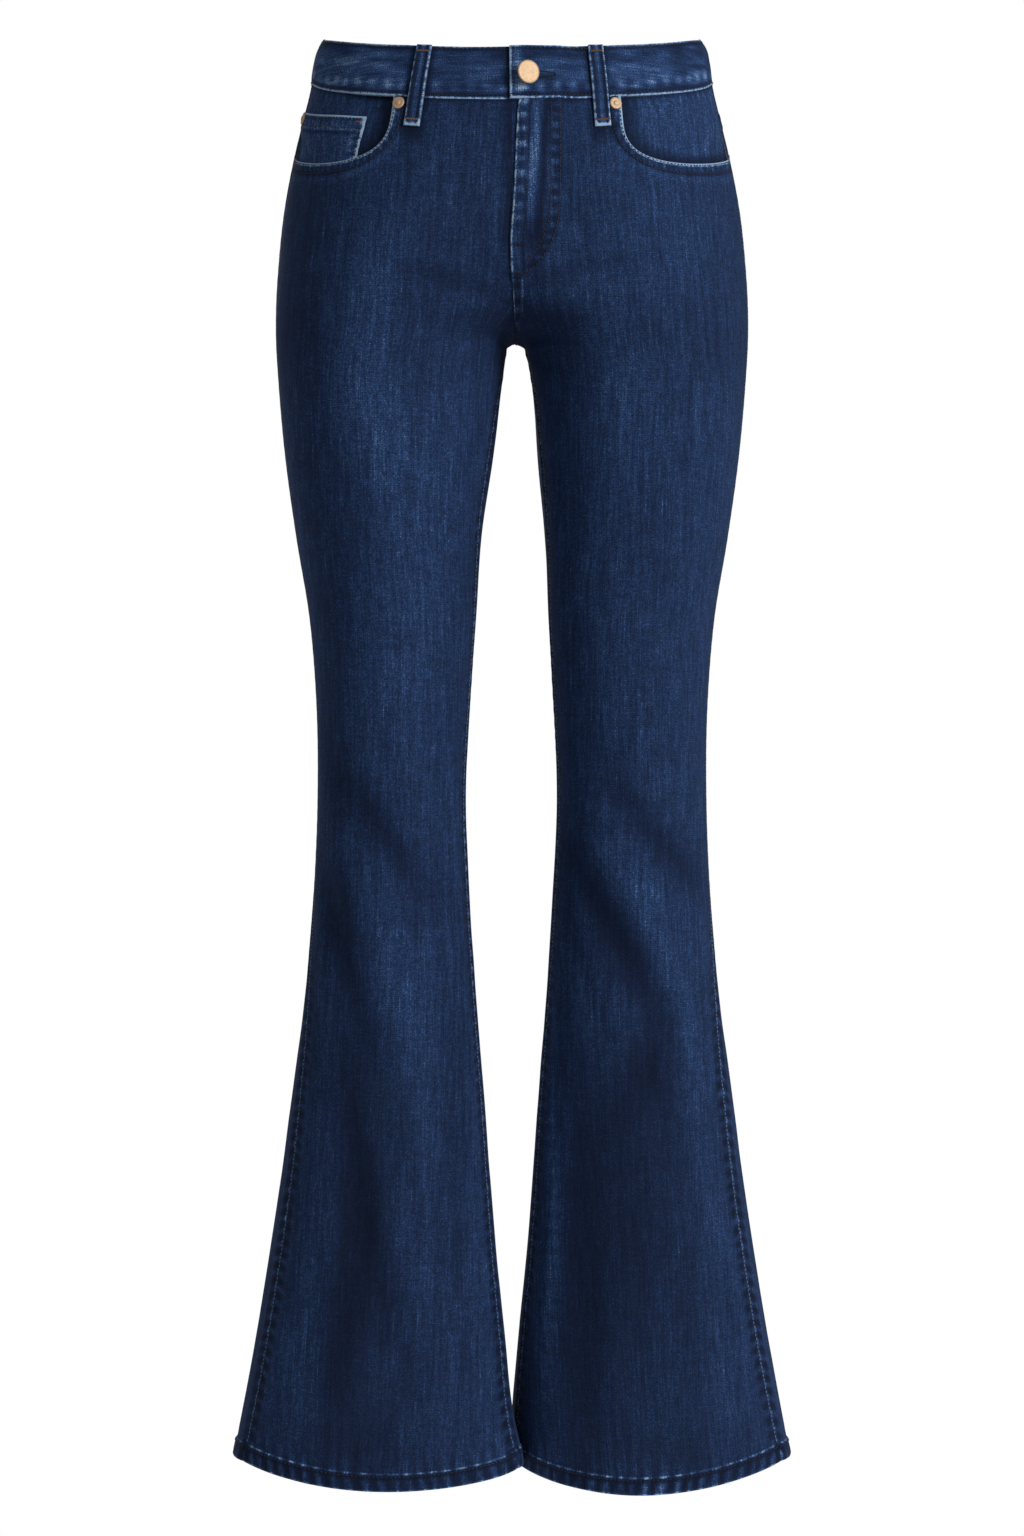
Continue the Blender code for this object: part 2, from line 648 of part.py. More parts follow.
def build_front(side, material):
    """A front leg panel, cut away round the hip pocket."""
    corner = MOUTH[side]["across"]
    total = PANEL_COLUMNS[FRONT]
    in_mouth = int(round(total * MOUTH_COLUMN_SHARE))
    turn = spread(0, math.pi / 2, in_mouth + 1)
    mouth_columns = corner * np.sin(turn)
    rest = spread(corner, 1.0, total - in_mouth + 1)[1:]
    columns_across = np.concatenate([mouth_columns, rest])
    top = band_bottom(FRONT, columns_across) - WAIST_GAP - mouth_drop(side, columns_across)
    across, height, out = panel_grid(side, FRONT, columns_across, top)
    points, normals = cloth_grid(side, FRONT, across, height)
    wall(f"front_{SIDE_NAMES[side]}", points, normals, out, -CLOTH - out, material)


def build_back(side, material):
    """A back leg panel, up to the yoke."""
    columns_across = spread(0, 1, PANEL_COLUMNS[BACK] + 1)
    top = yoke_seam(columns_across) - SEAM_GAP
    across, height, out = panel_grid(side, BACK, columns_across, top)
    points, normals = cloth_grid(side, BACK, across, height)
    wall(f"back_{SIDE_NAMES[side]}", points, normals, out, -CLOTH - out, material)


def build_yoke(side, material):
    columns_across = spread(0, 1, PANEL_COLUMNS[BACK] + 1)
    top = band_bottom(BACK, columns_across) - WAIST_GAP
    bottom = yoke_seam(columns_across)
    height = np.array([top + (bottom - top) * t for t in spread(0, 1, YOKE_ROWS + 1)])
    inset = seam_inset(side, BACK, height)
    across = inset + (1 - 2 * inset) * columns_across[None, :]
    points, normals = cloth_grid(side, BACK, across, height)
    wall(f"yoke_{SIDE_NAMES[side]}", points, normals, 0.0, -CLOTH, material)


def facing_lift(side, level):
    """The pocket facing is flush at the waist and side seams, and dips under the front panel."""
    under = CLOTH + FACING_GAP
    if side == RIGHT:
        under += COIN_POCKET_CLOTH + COIN_POCKET_GAP
    return -under * eased(level, FACING_DIP_START, FACING_DIP_END)


def build_pocket_facing(side, material):
    turn = spread(0, FACING_INNER_TURN, FACING_COLUMNS + 1)
    columns_across = MOUTH[side]["across"] * MOUTH_UNDERLAP * np.sin(turn)
    top = band_bottom(FRONT, columns_across) - WAIST_GAP
    drop = mouth_drop(side, columns_across, MOUTH_UNDERLAP)
    height = np.array([top - drop * t for t in spread(0, 1, FACING_ROWS + 1)])
    inset = seam_inset(side, FRONT, height)
    across = inset + (1 - inset) * columns_across[None, :]
    lift = facing_lift(side, mouth_level(side, across, height))
    points, normals = cloth_grid(side, FRONT, across, height)
    wall(f"pocket_facing_{SIDE_NAMES[side]}", points, normals, lift, lift - CLOTH, material)


def build_coin_pocket(material):
    """The small pocket on the right facing, sewn into the side seam."""
    rows = spread(0, 1, COIN_ROWS + 1)[:, None]
    share = spread(0, 1, COIN_COLUMNS + 1)[None, :]
    columns_across = (COIN_POCKET_ACROSS - COIN_POCKET_NARROWING * rows) * share
    top = band_bottom(FRONT, columns_across) - COIN_POCKET_DROP + COIN_POCKET_RISE * share
    bottom = band_bottom(FRONT, columns_across) - mouth_drop(RIGHT, columns_across, COIN_POCKET_END)
    height = top + (bottom - top) * rows
    inset = seam_inset(RIGHT, FRONT, height)
    across = inset + (1 - inset) * columns_across
    lift = facing_lift(RIGHT, mouth_level(RIGHT, across, height)) + COIN_POCKET_GAP
    points, normals = cloth_grid(RIGHT, FRONT, across, height)
    wall("coin_pocket", points, normals, lift + COIN_POCKET_CLOTH, lift, material)


def build_fly(material):
    """The fly's lap on the left front, a J that thins to its stitched edge."""
    top = band_bottom(FRONT, 1.0) - WAIST_GAP
    share = spread(0, 1, FLY_ROWS)
    height_line = top + (FLY_BOTTOM - top) * share
    curve = np.clip((FLY_CURVE_START - height_line) / (FLY_CURVE_START - FLY_BOTTOM), 0, FLY_CURVE_END)
    width = FLY_WIDTH * np.sqrt(1 - curve**2)
    edge = FLY_EDGE_TOP + (FLY_EDGE_BOTTOM - FLY_EDGE_TOP) * np.sqrt(share)
    columns = spread(0, 1, FLY_COLUMNS)
    distance = edge[:, None] + (width - edge)[:, None] * columns[None, :]
    height = np.repeat(height_line[:, None], len(columns), axis=1)
    height += (band_bottom(FRONT, across_from_centre(LEFT, FRONT, distance, height))
               - band_bottom(FRONT, 1.0)) * (1 - share)[:, None]
    across = across_from_centre(LEFT, FRONT, distance, height)
    points, normals = cloth_grid(LEFT, FRONT, across[:, ::-1], height[:, ::-1])
    thickness = FLY_THICKNESS * (1 - FLY_THINNING * columns[::-1])[None, :]
    lift = np.full(height.shape, LAYER_GAP)
    wall("fly", points, normals, lift + thickness, lift, material)


def build_back_pocket(side, material):
    """A plain five-sided patch on the seat."""
    columns, rows = spread(0, 1, BACK_POCKET_COLUMNS + 1), spread(0, 1, BACK_POCKET_ROWS + 1)
    point = 1 - np.abs(2 * columns - 1)
    drop = BACK_POCKET_SIDE_DROP + (BACK_POCKET_POINT_DROP - BACK_POCKET_SIDE_DROP) * point
    top = BACK_POCKET_TOP + BACK_POCKET_TILT * columns
    height = top[None, :] - drop[None, :] * rows[:, None]
    narrowing = 1 + (BACK_POCKET_TAPER - 1) * np.minimum(rows[:, None] * drop / BACK_POCKET_SIDE_DROP, 1.0)
    distance = BACK_POCKET_MIDDLE + BACK_POCKET_WIDTH * narrowing * (columns[None, :] - 0.5)
    across = across_from_side(side, BACK, distance, height)
    points, normals = cloth_grid(side, BACK, across, height)
    lift = BACK_POCKET_LIFT
    wall(f"back_pocket_{SIDE_NAMES[side]}", points, normals, lift + CLOTH, lift, material)


def band_grid(side, face, columns_across):
    """A stretch of the band between its top edge and the waist seam, and its normals."""
    top, bottom = band_top(face, columns_across), band_bottom(face, columns_across)
    height = np.array([top + (bottom - top) * t for t in BAND_ROWS])
    return cloth_grid(side, face, columns_across[None, :], height)


def build_front_band(side, material):
    """A front half of the waistband. The left one laps over the right one's end, which holds the button."""
    inset = float(seam_inset(side, FRONT, BAND_MEASURED_AT))
    lap = spread(BAND_UNDERLAP, 0.0, BAND_LAP_COLUMNS + 1)
    columns = BAND_COLUMNS[SIDE_NAMES[side]]
    if side == LEFT:
        rise = spread(BAND_UNDERLAP + BAND_OVERLAP_EASE, BAND_UNDERLAP + SEAM_GAP, BAND_EASE_COLUMNS + 1)
        lap_across = across_from_centre(side, FRONT, np.concatenate([rise, lap]), BAND_MEASURED_AT)
        columns_across = np.concatenate([spread(inset, lap_across[0], columns + 1)[:-1], lap_across])
        past = np.array([BAND_TAB_PAST_CENTRE])
        lift = (BAND_THICKNESS + LAYER_GAP) * eased(columns_across, lap_across[0], lap_across[BAND_EASE_COLUMNS])
        out = BAND_OUT + np.append(lift, lift[-1])
    else:
        columns_across = spread(inset, 1.0, columns + 1)
        past = lap[-2::-1]
        out = np.full(len(columns_across) + len(past), BAND_OUT)
    own = band_grid(side, FRONT, columns_across)
    lapped = band_grid(-side, FRONT, across_from_centre(-side, FRONT, past, BAND_MEASURED_AT))
    points, normals = (np.concatenate(pair, axis=1) for pair in zip(own, lapped))
    name = f"waistband_{SIDE_NAMES[side]}"
    return wall(name, points, normals, out[None, :], out[None, :] - BAND_THICKNESS, material)


def build_back_band(material):
    """The back of the waistband, from side seam to side seam."""
    grids = []
    for side in (RIGHT, LEFT):
        inset = float(seam_inset(side, BACK, BAND_MEASURED_AT))
        grids.append(band_grid(side, BACK, spread(inset, 1.0, BAND_COLUMNS["back"] + 1)))
    points, normals = (np.concatenate([right, left[:, -2::-1]], axis=1) for right, left in zip(*grids))
    wall("waistband_back", points, normals, BAND_OUT, BAND_OUT - BAND_THICKNESS, material)


def build_belt_loop(name, row, material):
    """A belt loop, sewn at the band's top edge and below the waist seam, and bowed a little between."""
    side, face, top_distance, bottom_distance = row
    rows = np.array(LOOP_ROWS)
    middle = top_distance + (bottom_distance - top_distance) * rows
    distance = middle[:, None] + LOOP_WIDTH * np.array(LOOP_COLUMN_SPREAD)[None, :]
    held = np.minimum(across_from_centre(side, face, distance, BAND_MEASURED_AT), 1.0)
    top = band_top(face, held)
    bottom = band_bottom(face, held) - LOOP_TAIL
    height = top + (bottom - top) * rows[:, None]
    points, normals = cloth_grid(side, face, held, height)
    points[..., 0] -= side * np.maximum(-distance, 0.0)
    over_band = BAND_OUT + LAYER_GAP
    seam_share = 1 - LOOP_TAIL / float((top - bottom).mean())
    lift = over_band + LOOP_BOW * np.sin(math.pi * np.clip(rows / seam_share, 0, 1))
    settle = eased(rows, seam_share + LOOP_SETTLE[0], LOOP_SETTLE[1])
    lift = (lift * (1 - settle) + LAYER_GAP * settle)[:, None]
    wall(name, points, normals, lift + LOOP_THICKNESS, lift, material)


def metal_place(side, distance, height, lift):
    """A place on the front at a distance from the centre seam, and the normal there."""
    across = across_from_centre(side, FRONT, distance, height)
    points, normals = cloth_grid(side, FRONT, np.reshape(across, (1, 1)), np.reshape(height, (1, 1)))
    return points[0, 0] + normals[0, 0] * lift, normals[0, 0]


def build_button(material):
    """A plain domed button. Its stem stands on the right band's end, and its head leans on the stem."""
    height = band_top(FRONT, 1.0) - BUTTON_BELOW_TOP
    foot, normal = metal_place(LEFT, BUTTON_OUT_FROM_CENTRE, height, BAND_OUT + LAYER_GAP)
    leaning = np.array((math.sin(BUTTON_TILT), -math.cos(BUTTON_TILT), 0.0))
    radius, stem = BUTTON_DIAMETER / 2, BUTTON_STEM / 2
    stem_height = BAND_THICKNESS + LAYER_GAP * 2 + radius * math.sin(BUTTON_TILT) + BUTTON_CLEAR
    profile = [(0.0, -stem_height), (stem, -stem_height), (stem, 0.0)]
    profile += [(radius * share, BUTTON_HEAD * lift) for share, lift in BUTTON_PROFILE]
    turned("button", profile, foot + normal * stem_height, normal, material, BUTTON_SEGMENTS, leaning)


def build_rivet(name, side, distance, height, lift, material):
    place, normal = metal_place(side, distance, height, lift)
    profile = [(RIVET_DIAMETER / 2 * share, RIVET_HEIGHT * rise) for share, rise in RIVET_PROFILE]
    turned(name, profile, place, normal, material, RIVET_SEGMENTS)


def cut_buttonhole(band):
    """A keyhole through the left band's lap, its eye round the button's shank."""
    height = band_top(FRONT, 1.0) - BUTTON_BELOW_TOP
    place, _ = metal_place(LEFT, BUTTON_OUT_FROM_CENTRE, height, BAND_OUT + BUTTONHOLE_MIDDLE)
    eye, slit = BUTTONHOLE_EYE / 2, BUTTONHOLE_SLIT / 2
    outline = []
    opening = math.asin(slit / eye)
    for step in range(BUTTONHOLE_SIDES + 1):
        turn = opening + (2 * math.pi - 2 * opening) * step / BUTTONHOLE_SIDES
        outline.append((math.cos(turn) * eye, math.sin(turn) * eye))
    point = slit * BUTTONHOLE_POINT
    outline += [(BUTTONHOLE_LENGTH - slit, -point), (BUTTONHOLE_LENGTH, 0.0),
                (BUTTONHOLE_LENGTH - slit, point)]
    vertices = [(place[0] + x, place[1] + y, place[2] + z) for y in BUTTONHOLE_REACH for x, z in outline]
    count = len(outline)
    faces = [tuple(range(count)), tuple(range(2 * count - 1, count - 1, -1))]
    for index in range(count):
        following = (index + 1) % count
        faces.append((index, following, count + following, count + index))
    cutter = add_object("buttonhole_cutter", vertices, faces, band.data.materials[0])
    cutter.hide_render = True
    cutter.display_type = "WIRE"
    cut = band.modifiers.new("buttonhole", "BOOLEAN")
    cut.operation = "DIFFERENCE"
    cut.object = cutter


def main():
    for old in list(bpy.data.objects):
        bpy.data.objects.remove(old)
    denim = {name: finish(name, DENIM) for name in ("denim_front", "denim_back", "denim_yoke")}
    band_denim = finish("denim_waistband", DENIM_DARK)
    trim_denim = finish("denim_trim", DENIM_LIGHT)
    facing_denim = finish("denim_facing", DENIM_DARK)
    metal = finish("pale_gold_metal", PALE_GOLD, METAL_ROUGHNESS, 1.0)

    for side in (RIGHT, LEFT):
        build_front(side, denim["denim_front"])
        build_back(side, denim["denim_back"])
        build_yoke(side, denim["denim_yoke"])
        build_pocket_facing(side, facing_denim)
        build_back_pocket(side, trim_denim)
    build_coin_pocket(trim_denim)
    build_fly(trim_denim)
    build_front_band(RIGHT, band_denim)
    cut_buttonhole(build_front_band(LEFT, band_denim))
    build_back_band(band_denim)
    for name, row in LOOPS.items():
        build_belt_loop(name, row, trim_denim)
    build_button(metal)
    for side in (RIGHT, LEFT):
        corner = MOUTH[side]["across"]
        level = band_bottom(FRONT, corner) - RIVET_BELOW_BAND
        to_mouth = float(distance_from_side(side, FRONT, corner, level))
        distance = float(face_length(side, FRONT, level)) - to_mouth - RIVET_PAST_MOUTH
        build_rivet(f"rivet_{SIDE_NAMES[side]}", side, distance, level, LAYER_GAP, metal)
    level = band_bottom(FRONT, 0.0) - COIN_RIVET_BELOW_BAND
    distance = float(face_length(RIGHT, FRONT, level)) - COIN_RIVET_FROM_SIDE
    build_rivet("rivet_coin_pocket", RIGHT, distance, level, COIN_POCKET_CLOTH + COIN_POCKET_GAP + LAYER_GAP, metal)


main()
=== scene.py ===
"""Bootcut jeans, filled out as if worn: the finished look.

Metres, +Z up. The front faces -Y and the wearer's right leg is at -X. Every piece of cloth lies on one
smooth form. A place on it is given by its half (RIGHT or LEFT), its face (FRONT or BACK), how far across
the face it lies (0 at the side seam, 1 at the centre seam or the inseam) and its height. A "lift" is a
distance out of the form.
"""

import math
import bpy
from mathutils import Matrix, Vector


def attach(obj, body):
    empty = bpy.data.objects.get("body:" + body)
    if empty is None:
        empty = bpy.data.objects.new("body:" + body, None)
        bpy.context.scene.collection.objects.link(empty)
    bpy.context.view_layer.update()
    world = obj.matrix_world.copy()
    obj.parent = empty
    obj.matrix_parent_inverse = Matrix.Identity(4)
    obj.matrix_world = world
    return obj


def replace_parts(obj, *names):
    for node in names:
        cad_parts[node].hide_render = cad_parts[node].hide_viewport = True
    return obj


bl_info = {
    "name": "Bootcut Jeans",
    "version": (1, 0, 0),
    "blender": (4, 5, 0),
    "location": "3D View > Sidebar > Jeans",
    "description": "Builds a pair of dark bootcut jeans, piece by piece, with its stitching and metal",
    "category": "Add Mesh",
}

import bpy
import numpy as np

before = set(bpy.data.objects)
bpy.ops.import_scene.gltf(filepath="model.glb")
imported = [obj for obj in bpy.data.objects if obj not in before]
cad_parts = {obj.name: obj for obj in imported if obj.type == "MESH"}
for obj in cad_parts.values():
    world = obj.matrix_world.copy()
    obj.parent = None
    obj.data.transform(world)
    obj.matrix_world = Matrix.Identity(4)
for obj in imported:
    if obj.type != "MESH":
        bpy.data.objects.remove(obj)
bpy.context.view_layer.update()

RIGHT, LEFT = -1, 1
FRONT, BACK = 1, -1
SIDES = (RIGHT, LEFT)
SIDE_NAMES = {RIGHT: "right", LEFT: "left"}

# ------------------------------ sizes

MM_PER_M = 1000.0
PERCENT = 100.0
TABLE_DIGITS = 6

WAIST_TO_CROTCH = 0.209
HEM_HEIGHT = -1.0537
SECTION_POWER = 2.1
SECTION_SAMPLES = 181
CLOTH = 0.0014
SEAM_GAP = 0.0003
WAIST_GAP = 0.0006
LAYER_GAP = 0.0003
WAIST_TUCK = 0.0021


class Table:
    """Sizes at places below the waist, in millimetres, read in metres on a smooth curve through the rows."""

    def __init__(self, columns, rows, unit_of_size=MM_PER_M):
        rows = np.array(rows[::-1])
        self.height = rows[:, 0] / -MM_PER_M
        self.sizes = dict(zip(columns[1:], np.round(rows[:, 1:].T / unit_of_size, TABLE_DIGITS)))

    def __call__(self, name, height):
        known, value = self.height, self.sizes[name]
        slope = np.gradient(value, known)
        height = np.clip(height, known[0], known[-1])
        below = np.clip(np.searchsorted(known, height) - 1, 0, len(known) - 2)
        step = known[below + 1] - known[below]
        t = (height - known[below]) / step
        keep = 2 * t**3 - 3 * t**2 + 1
        bend_in, bend_out = t**3 - 2 * t**2 + t, t**3 - t**2
        return (keep * value[below] + (1 - keep) * value[below + 1]
                + step * (bend_in * slope[below] + bend_out * slope[below + 1]))


SHAPE = Table(("height", "outer", "full", "crease", "side", "front", "back"), (
    (-30, 139.4, 0, 74, 4, -86, 87), (-18, 142.6, 0, 75, 4, -89, 92),
    (-10, 147.4, 0, 76, 5, -90.5, 94.5), (0, 150.2, 0, 77, 5, -92, 97),
    (18, 152.6, 0, 78.5, 6, -95, 101), (40, 157.8, 6, 80.5, 7, -98, 106),
    (75, 166.2, 25, 83, 9, -102, 116), (115, 173.6, 48, 85, 11, -104, 128),
    (150, 177.3, 66, 87, 11, -102, 134), (180, 179.1, 82, 89, 9, -98, 130),
    (209, 179.2, 90.5, 90.5, 7, -95, 118),
    (240, 177.3, 94.4, 94.4, 5, -93, 104), (300, 171.7, 94.5, 94.5, 3, -90, 92),
    (360, 163.3, 93.6, 93.6, 1, -86, 84), (420, 153.4, 90.4, 90.4, 0, -80, 75),
    (480, 148.4, 89.7, 89.7, 0, -74, 67), (560, 147.3, 90.9, 90.9, 0, -68, 60),
    (640, 151, 91.1, 91.1, 3, -63, 66), (720, 158.8, 92.2, 92.2, 4, -61, 72),
    (780, 166.8, 93.8, 93.8, 4, -62, 73), (840, 174.7, 95.5, 95.5, 4, -64, 72),
    (900, 183.7, 97.6, 97.6, 3, -67, 70), (960, 193.6, 99.6, 99.6, 2, -70, 69),
    (1020, 204.5, 102.2, 102.2, 1, -73, 69),
    (1056, 211.7, 104.7, 104.7, 0, -74.5, 69),
    (1075, 215.5, 106, 106, 0, -75, 69),
))
INNER = Table(("height", "right", "left"), (
    (209, 0, 0), (212, 5, 5), (220, 7.8, 7.8), (240, 10.8, 10.8), (300, 17.3, 17.3),
    (360, 23.9, 23.9), (420, 27.3, 27.3), (480, 31, 31), (560, 34.5, 34.5), (640, 31.2, 31.2),
    (720, 25.6, 25.6), (780, 20.7, 20.7), (840, 16.4, 16.4), (900, 11.5, 11.5), (960, 5.5, 5.5),
    (1020, -1, 0.5), (1056, -8, -1.5), (1075, -9.5, -2),
))
SWING = Table(("height", "swing"), (
    (-30, 0), (780, 0), (840, 1), (900, 5), (960, 13), (1020, 22), (1056, 27), (1075, 28),
))
CENTRE = Table(("height", "stray"), (
    (-30, -1), (70, 0), (115, -0.4), (155, -1.8), (180, 0), (209, 2.6), (360, 1), (450, 0),
    (1075, 0),
))
# The long seams' places round the section, in degrees from its two ends.
SEAMS = Table(("height", "side_seam", "inseam"), (
    (-30, 11, 0), (80, 9, 0), (150, 5, 0), (209, 4, 0), (240, 4, 8), (450, 4, 12), (600, 6, 13),
    (750, 25, 14), (940, 28, 16), (1075, 24, 16),
), 1.0)
RISE_BEND = {FRONT: 0.055, BACK: 0.085}
RISE_POWER = 2.2
FULLEST = 0.9995
SEAT_CLEFT = 0.10
SEAT_CLEFT_TOP = -0.040
SEAT_CLEFT_FULL = -0.130

BAND_WIDTH_SIDE = 0.0363
BAND_TOP_SIDE = 0.0180
BAND_TURN_POWER = 2.6
BAND_FRONT_DROP = 0.0254
BAND_FRONT_WIDEN = 0.0032
BAND_BACK_RISE = 0.0140
BAND_CORNER_DIP = 0.0020
BAND_CORNER_REACH = 0.09
BAND_OUT = 0.0008
BAND_THICKNESS = 0.0024
BAND_MEASURED_AT = -0.020
BAND_UNDERLAP = 0.030
BAND_TAB_PAST_CENTRE = 0.0015
BAND_OVERLAP_EASE = 0.018
BAND_SEED = 200
LAP_LIFT = BAND_OUT + BAND_THICKNESS + LAYER_GAP

MOUTH = {RIGHT: {"across": 0.470, "depth": 0.0545, "power": 3.7},
         LEFT: {"across": 0.507, "depth": 0.0543, "power": 4.3}}
MOUTH_UNDERLAP = 1.20
FACING_DIP_START = 0.50
FACING_DIP_END = 0.88
FACING_GAP = 0.0007
COIN_POCKET_CLOTH = 0.0010
COIN_POCKET_GAP = 0.0005
COIN_POCKET_ACROSS = 0.372
COIN_POCKET_NARROWING = 0.012
COIN_POCKET_DROP = 0.0205
COIN_POCKET_RISE = 0.0045
COIN_POCKET_END = 1.12

FLY_WIDTH = 0.0368
FLY_BOTTOM = -0.176
FLY_EDGE_TOP = 0.0055
FLY_EDGE_BOTTOM = 0.0004
FLY_THICKNESS = 0.0011
FLY_CURVE_START = -0.128

YOKE_SIDE = -0.048
YOKE_CENTRE = -0.078
BACK_POCKET_MIDDLE = 0.150
BACK_POCKET_WIDTH = 0.130
BACK_POCKET_TOP = -0.084
BACK_POCKET_SIDE_DROP = 0.110
BACK_POCKET_POINT_DROP = 0.130
BACK_POCKET_TAPER = 0.86
BACK_POCKET_TILT = -0.010
BACK_POCKET_LIFT = 0.0006
BACK_POCKET_WEAVE = (0.02, 0.3, 2.0)

LOOPS = {
    "belt_loop_front_right": (RIGHT, FRONT, 0.0650, 0.0706),
    "belt_loop_front_left": (LEFT, FRONT, 0.0625, 0.0642),
    "belt_loop_back_right": (RIGHT, BACK, 0.1120, 0.1120),
    "belt_loop_back_left": (LEFT, BACK, 0.1120, 0.1120),
    "belt_loop_back_centre": (LEFT, BACK, 0.0000, 0.0000),
}
LOOP_WIDTH = 0.0115
LOOP_LENGTH = 0.0600
LOOP_THICKNESS = 0.0016
LOOP_TAIL = 0.0222
LOOP_BOW = 0.0009

BUTTON_DIAMETER = 0.0172
BUTTON_OUT_FROM_CENTRE = 0.0115
BUTTON_BELOW_TOP = 0.0220
BUTTON_TILT = math.radians(24.0)
BUTTON_STEM = 0.0042
BUTTON_CLEAR = 0.0004
BUTTON_HEAD = 0.0022
BUTTONHOLE_LENGTH = 0.0200
BUTTONHOLE_EYE = 0.0062
RIVET_DIAMETER = 0.0093
RIVET_HEIGHT = 0.0012
RIVET_BELOW_BAND = 0.0058
RIVET_PAST_MOUTH = 0.0047
COIN_RIVET_FROM_SIDE = 0.0055
COIN_RIVET_BELOW_BAND = 0.0268

HEM_FOLD = 0.0125
HEM_OUT = 0.0008
HEM_INNER_DROP = {RIGHT: 0.0026, LEFT: 0.0076}
HEM_DROP = {FRONT: 0.0124, BACK: 0.0060}
HEM_BELLY_POWER = {FRONT: 1.15, BACK: 1.6}
HEM_BELLY_SKEW = 1.13
TOP_ZONE_END = -0.124

# The turned metal pieces, as shares of the radius and of the height.
BUTTON_PROFILE = (
    (0.88, 0.04), (0.94, 0.10), (0.985, 0.24), (1.0, 0.45), (0.995, 0.62), (0.975, 0.80), (0.945, 0.90),
    (0.915, 0.92), (0.895, 0.86), (0.87, 0.83), (0.80, 0.845), (0.60, 0.90), (0.40, 0.94), (0.22, 0.96),
    (0.13, 0.965), (0.10, 0.94), (0.06, 0.93), (0.0, 0.93))
RIVET_PROFILE = (
    (0.0, 0.0), (0.96, 0.0), (1.0, 0.22), (0.995, 0.45), (0.96, 0.72), (0.90, 0.88), (0.80, 0.97),
    (0.64, 1.0), (0.50, 0.96), (0.42, 0.90), (0.385, 0.92), (0.37, 1.15), (0.34, 1.42), (0.28, 1.54),
    (0.16, 1.60), (0.0, 1.62))

# Rows of a leg panel's mesh, in millimetres below its top edge and above its hem's.
TOP_ROWS = (0.0, 0.3, 0.7, 1.2, 1.8, 2.6, 3.6, 4.8, 6.0, 7.2, 8.2, 9.0, 9.8, 10.8, 12.2)
HEM_ROWS = (16.2, 14.8, 13.9, 13.3, 12.8, 12.3, 11.7, 10.8, 9.6, 8.2, 6.6, 5.0, 3.4, 2.1, 1.2, 0.6, 0.2, 0.0)

# Steps across each mesh, or down it: the size that it spans, and its finest and its widest step.
GRADES = {
    "front": (0.1, 0.0005, 0.0028), "back": (0.19, 0.0005, 0.0033), "yoke": (0.19, 0.0005, 0.0026),
    "yoke_down": (0.05, 0.0004, 0.0018), "coin": (0.07, 0.0004, 0.0018), "coin_down": (0.04, 0.0004, 0.0014),
    "fly": (0.03, 0.0003, 0.0012), "pocket": (0.13, 0.0005, 0.0024), "pocket_down": (0.12, 0.0005, 0.0024),
    "band_front": (0.19, 0.0005, 0.0014), "band_back": (0.19, 0.0005, 0.0020),
    "band_down": (0.0375, 0.00035, 0.0013), "loop": (LOOP_WIDTH, 0.0003, 0.0008),
    "loop_down": (0.06, 0.0004, 0.0013),
}
STEP_GROWTH = 1.28
FRONT_STEP_GROWTH = 1.22
# The form's table of places: its ends, its step, and the stretch round the crotch that has more rows.
FORM_TOP = 0.045
FORM_BOTTOM = -1.082
FORM_STEP = 0.002
CROTCH_REACH = 0.020
CROTCH_ROWS = 81
# The same stretch of a leg panel's mesh, and where its hem's rows begin.
CROTCH_ZONE = 0.012
CROTCH_ZONE_ROWS = 21
HEM_ZONE = 0.018

# Each seam's puckers: from one to the next, and a seed.
RIPPLES = {
    "seam": (0.0104, 60), "hem": (0.0106, 90), "mouth": (0.0050, 120), "mouth_light": (0.0046, 120),
    "centre": (0.0085, 141), "yoke": (0.0085, 150), "waist": (0.0080, 160), "coin": (0.0062, 171),
    "coin_top": (0.0055, 172), "fly": (0.0106, 181), "fly_curve": (0.0088, 183), "back_pocket": (0.0075, 190),
    "band": (0.0125, 0), "band_edge": (0.0048, 1), "loop": (0.0070, 220),
}
# What makes them uneven: the lengths of their strain and swell, counted in puckers, how far the strain shifts
# them, and the least swell.
STRAIN_LENGTH = 2.3
SWELL_LENGTH = 3.1
STRAIN = 2.4
LEAST_SWELL = 0.62
# The cloth's slight unevenness: depth, and the length of its bumps over and along the cloth.
UNEVEN = ((0.00040, 0.040, 0.075), (0.00016, 0.013, 0.026))
UNEVEN_FADE = 0.05
UNEVEN_SEED = 40

# Where a leg is washed lighter or darker: tone, middle and breadth across, middle and breadth in height.
FADES = {
    FRONT: ((0.05, 0.52, 0.22, -0.36, 0.20), (0.03, 0.46, 0.24, -0.80, 0.22),
            (-0.05, 0.5, math.inf, -0.215, 0.035)),
    BACK: ((0.12, 0.55, 0.26, -0.17, 0.09), (0.08, 0.50, 0.25, -0.62, 0.25)),
}
# Tone from the folds' relief, per metre, and its range: wear with painted light on the ridges, painted shade
# in the troughs.
FOLD_WEAR_AND_SHADE = 62.0
FOLD_WEAR_AND_SHADE_RANGE = (-0.22, 0.16)
# Painted shade on each hip pocket's facing, towards the centre.
FACING_SHADE = {RIGHT: 0.06, LEFT: 0.0}

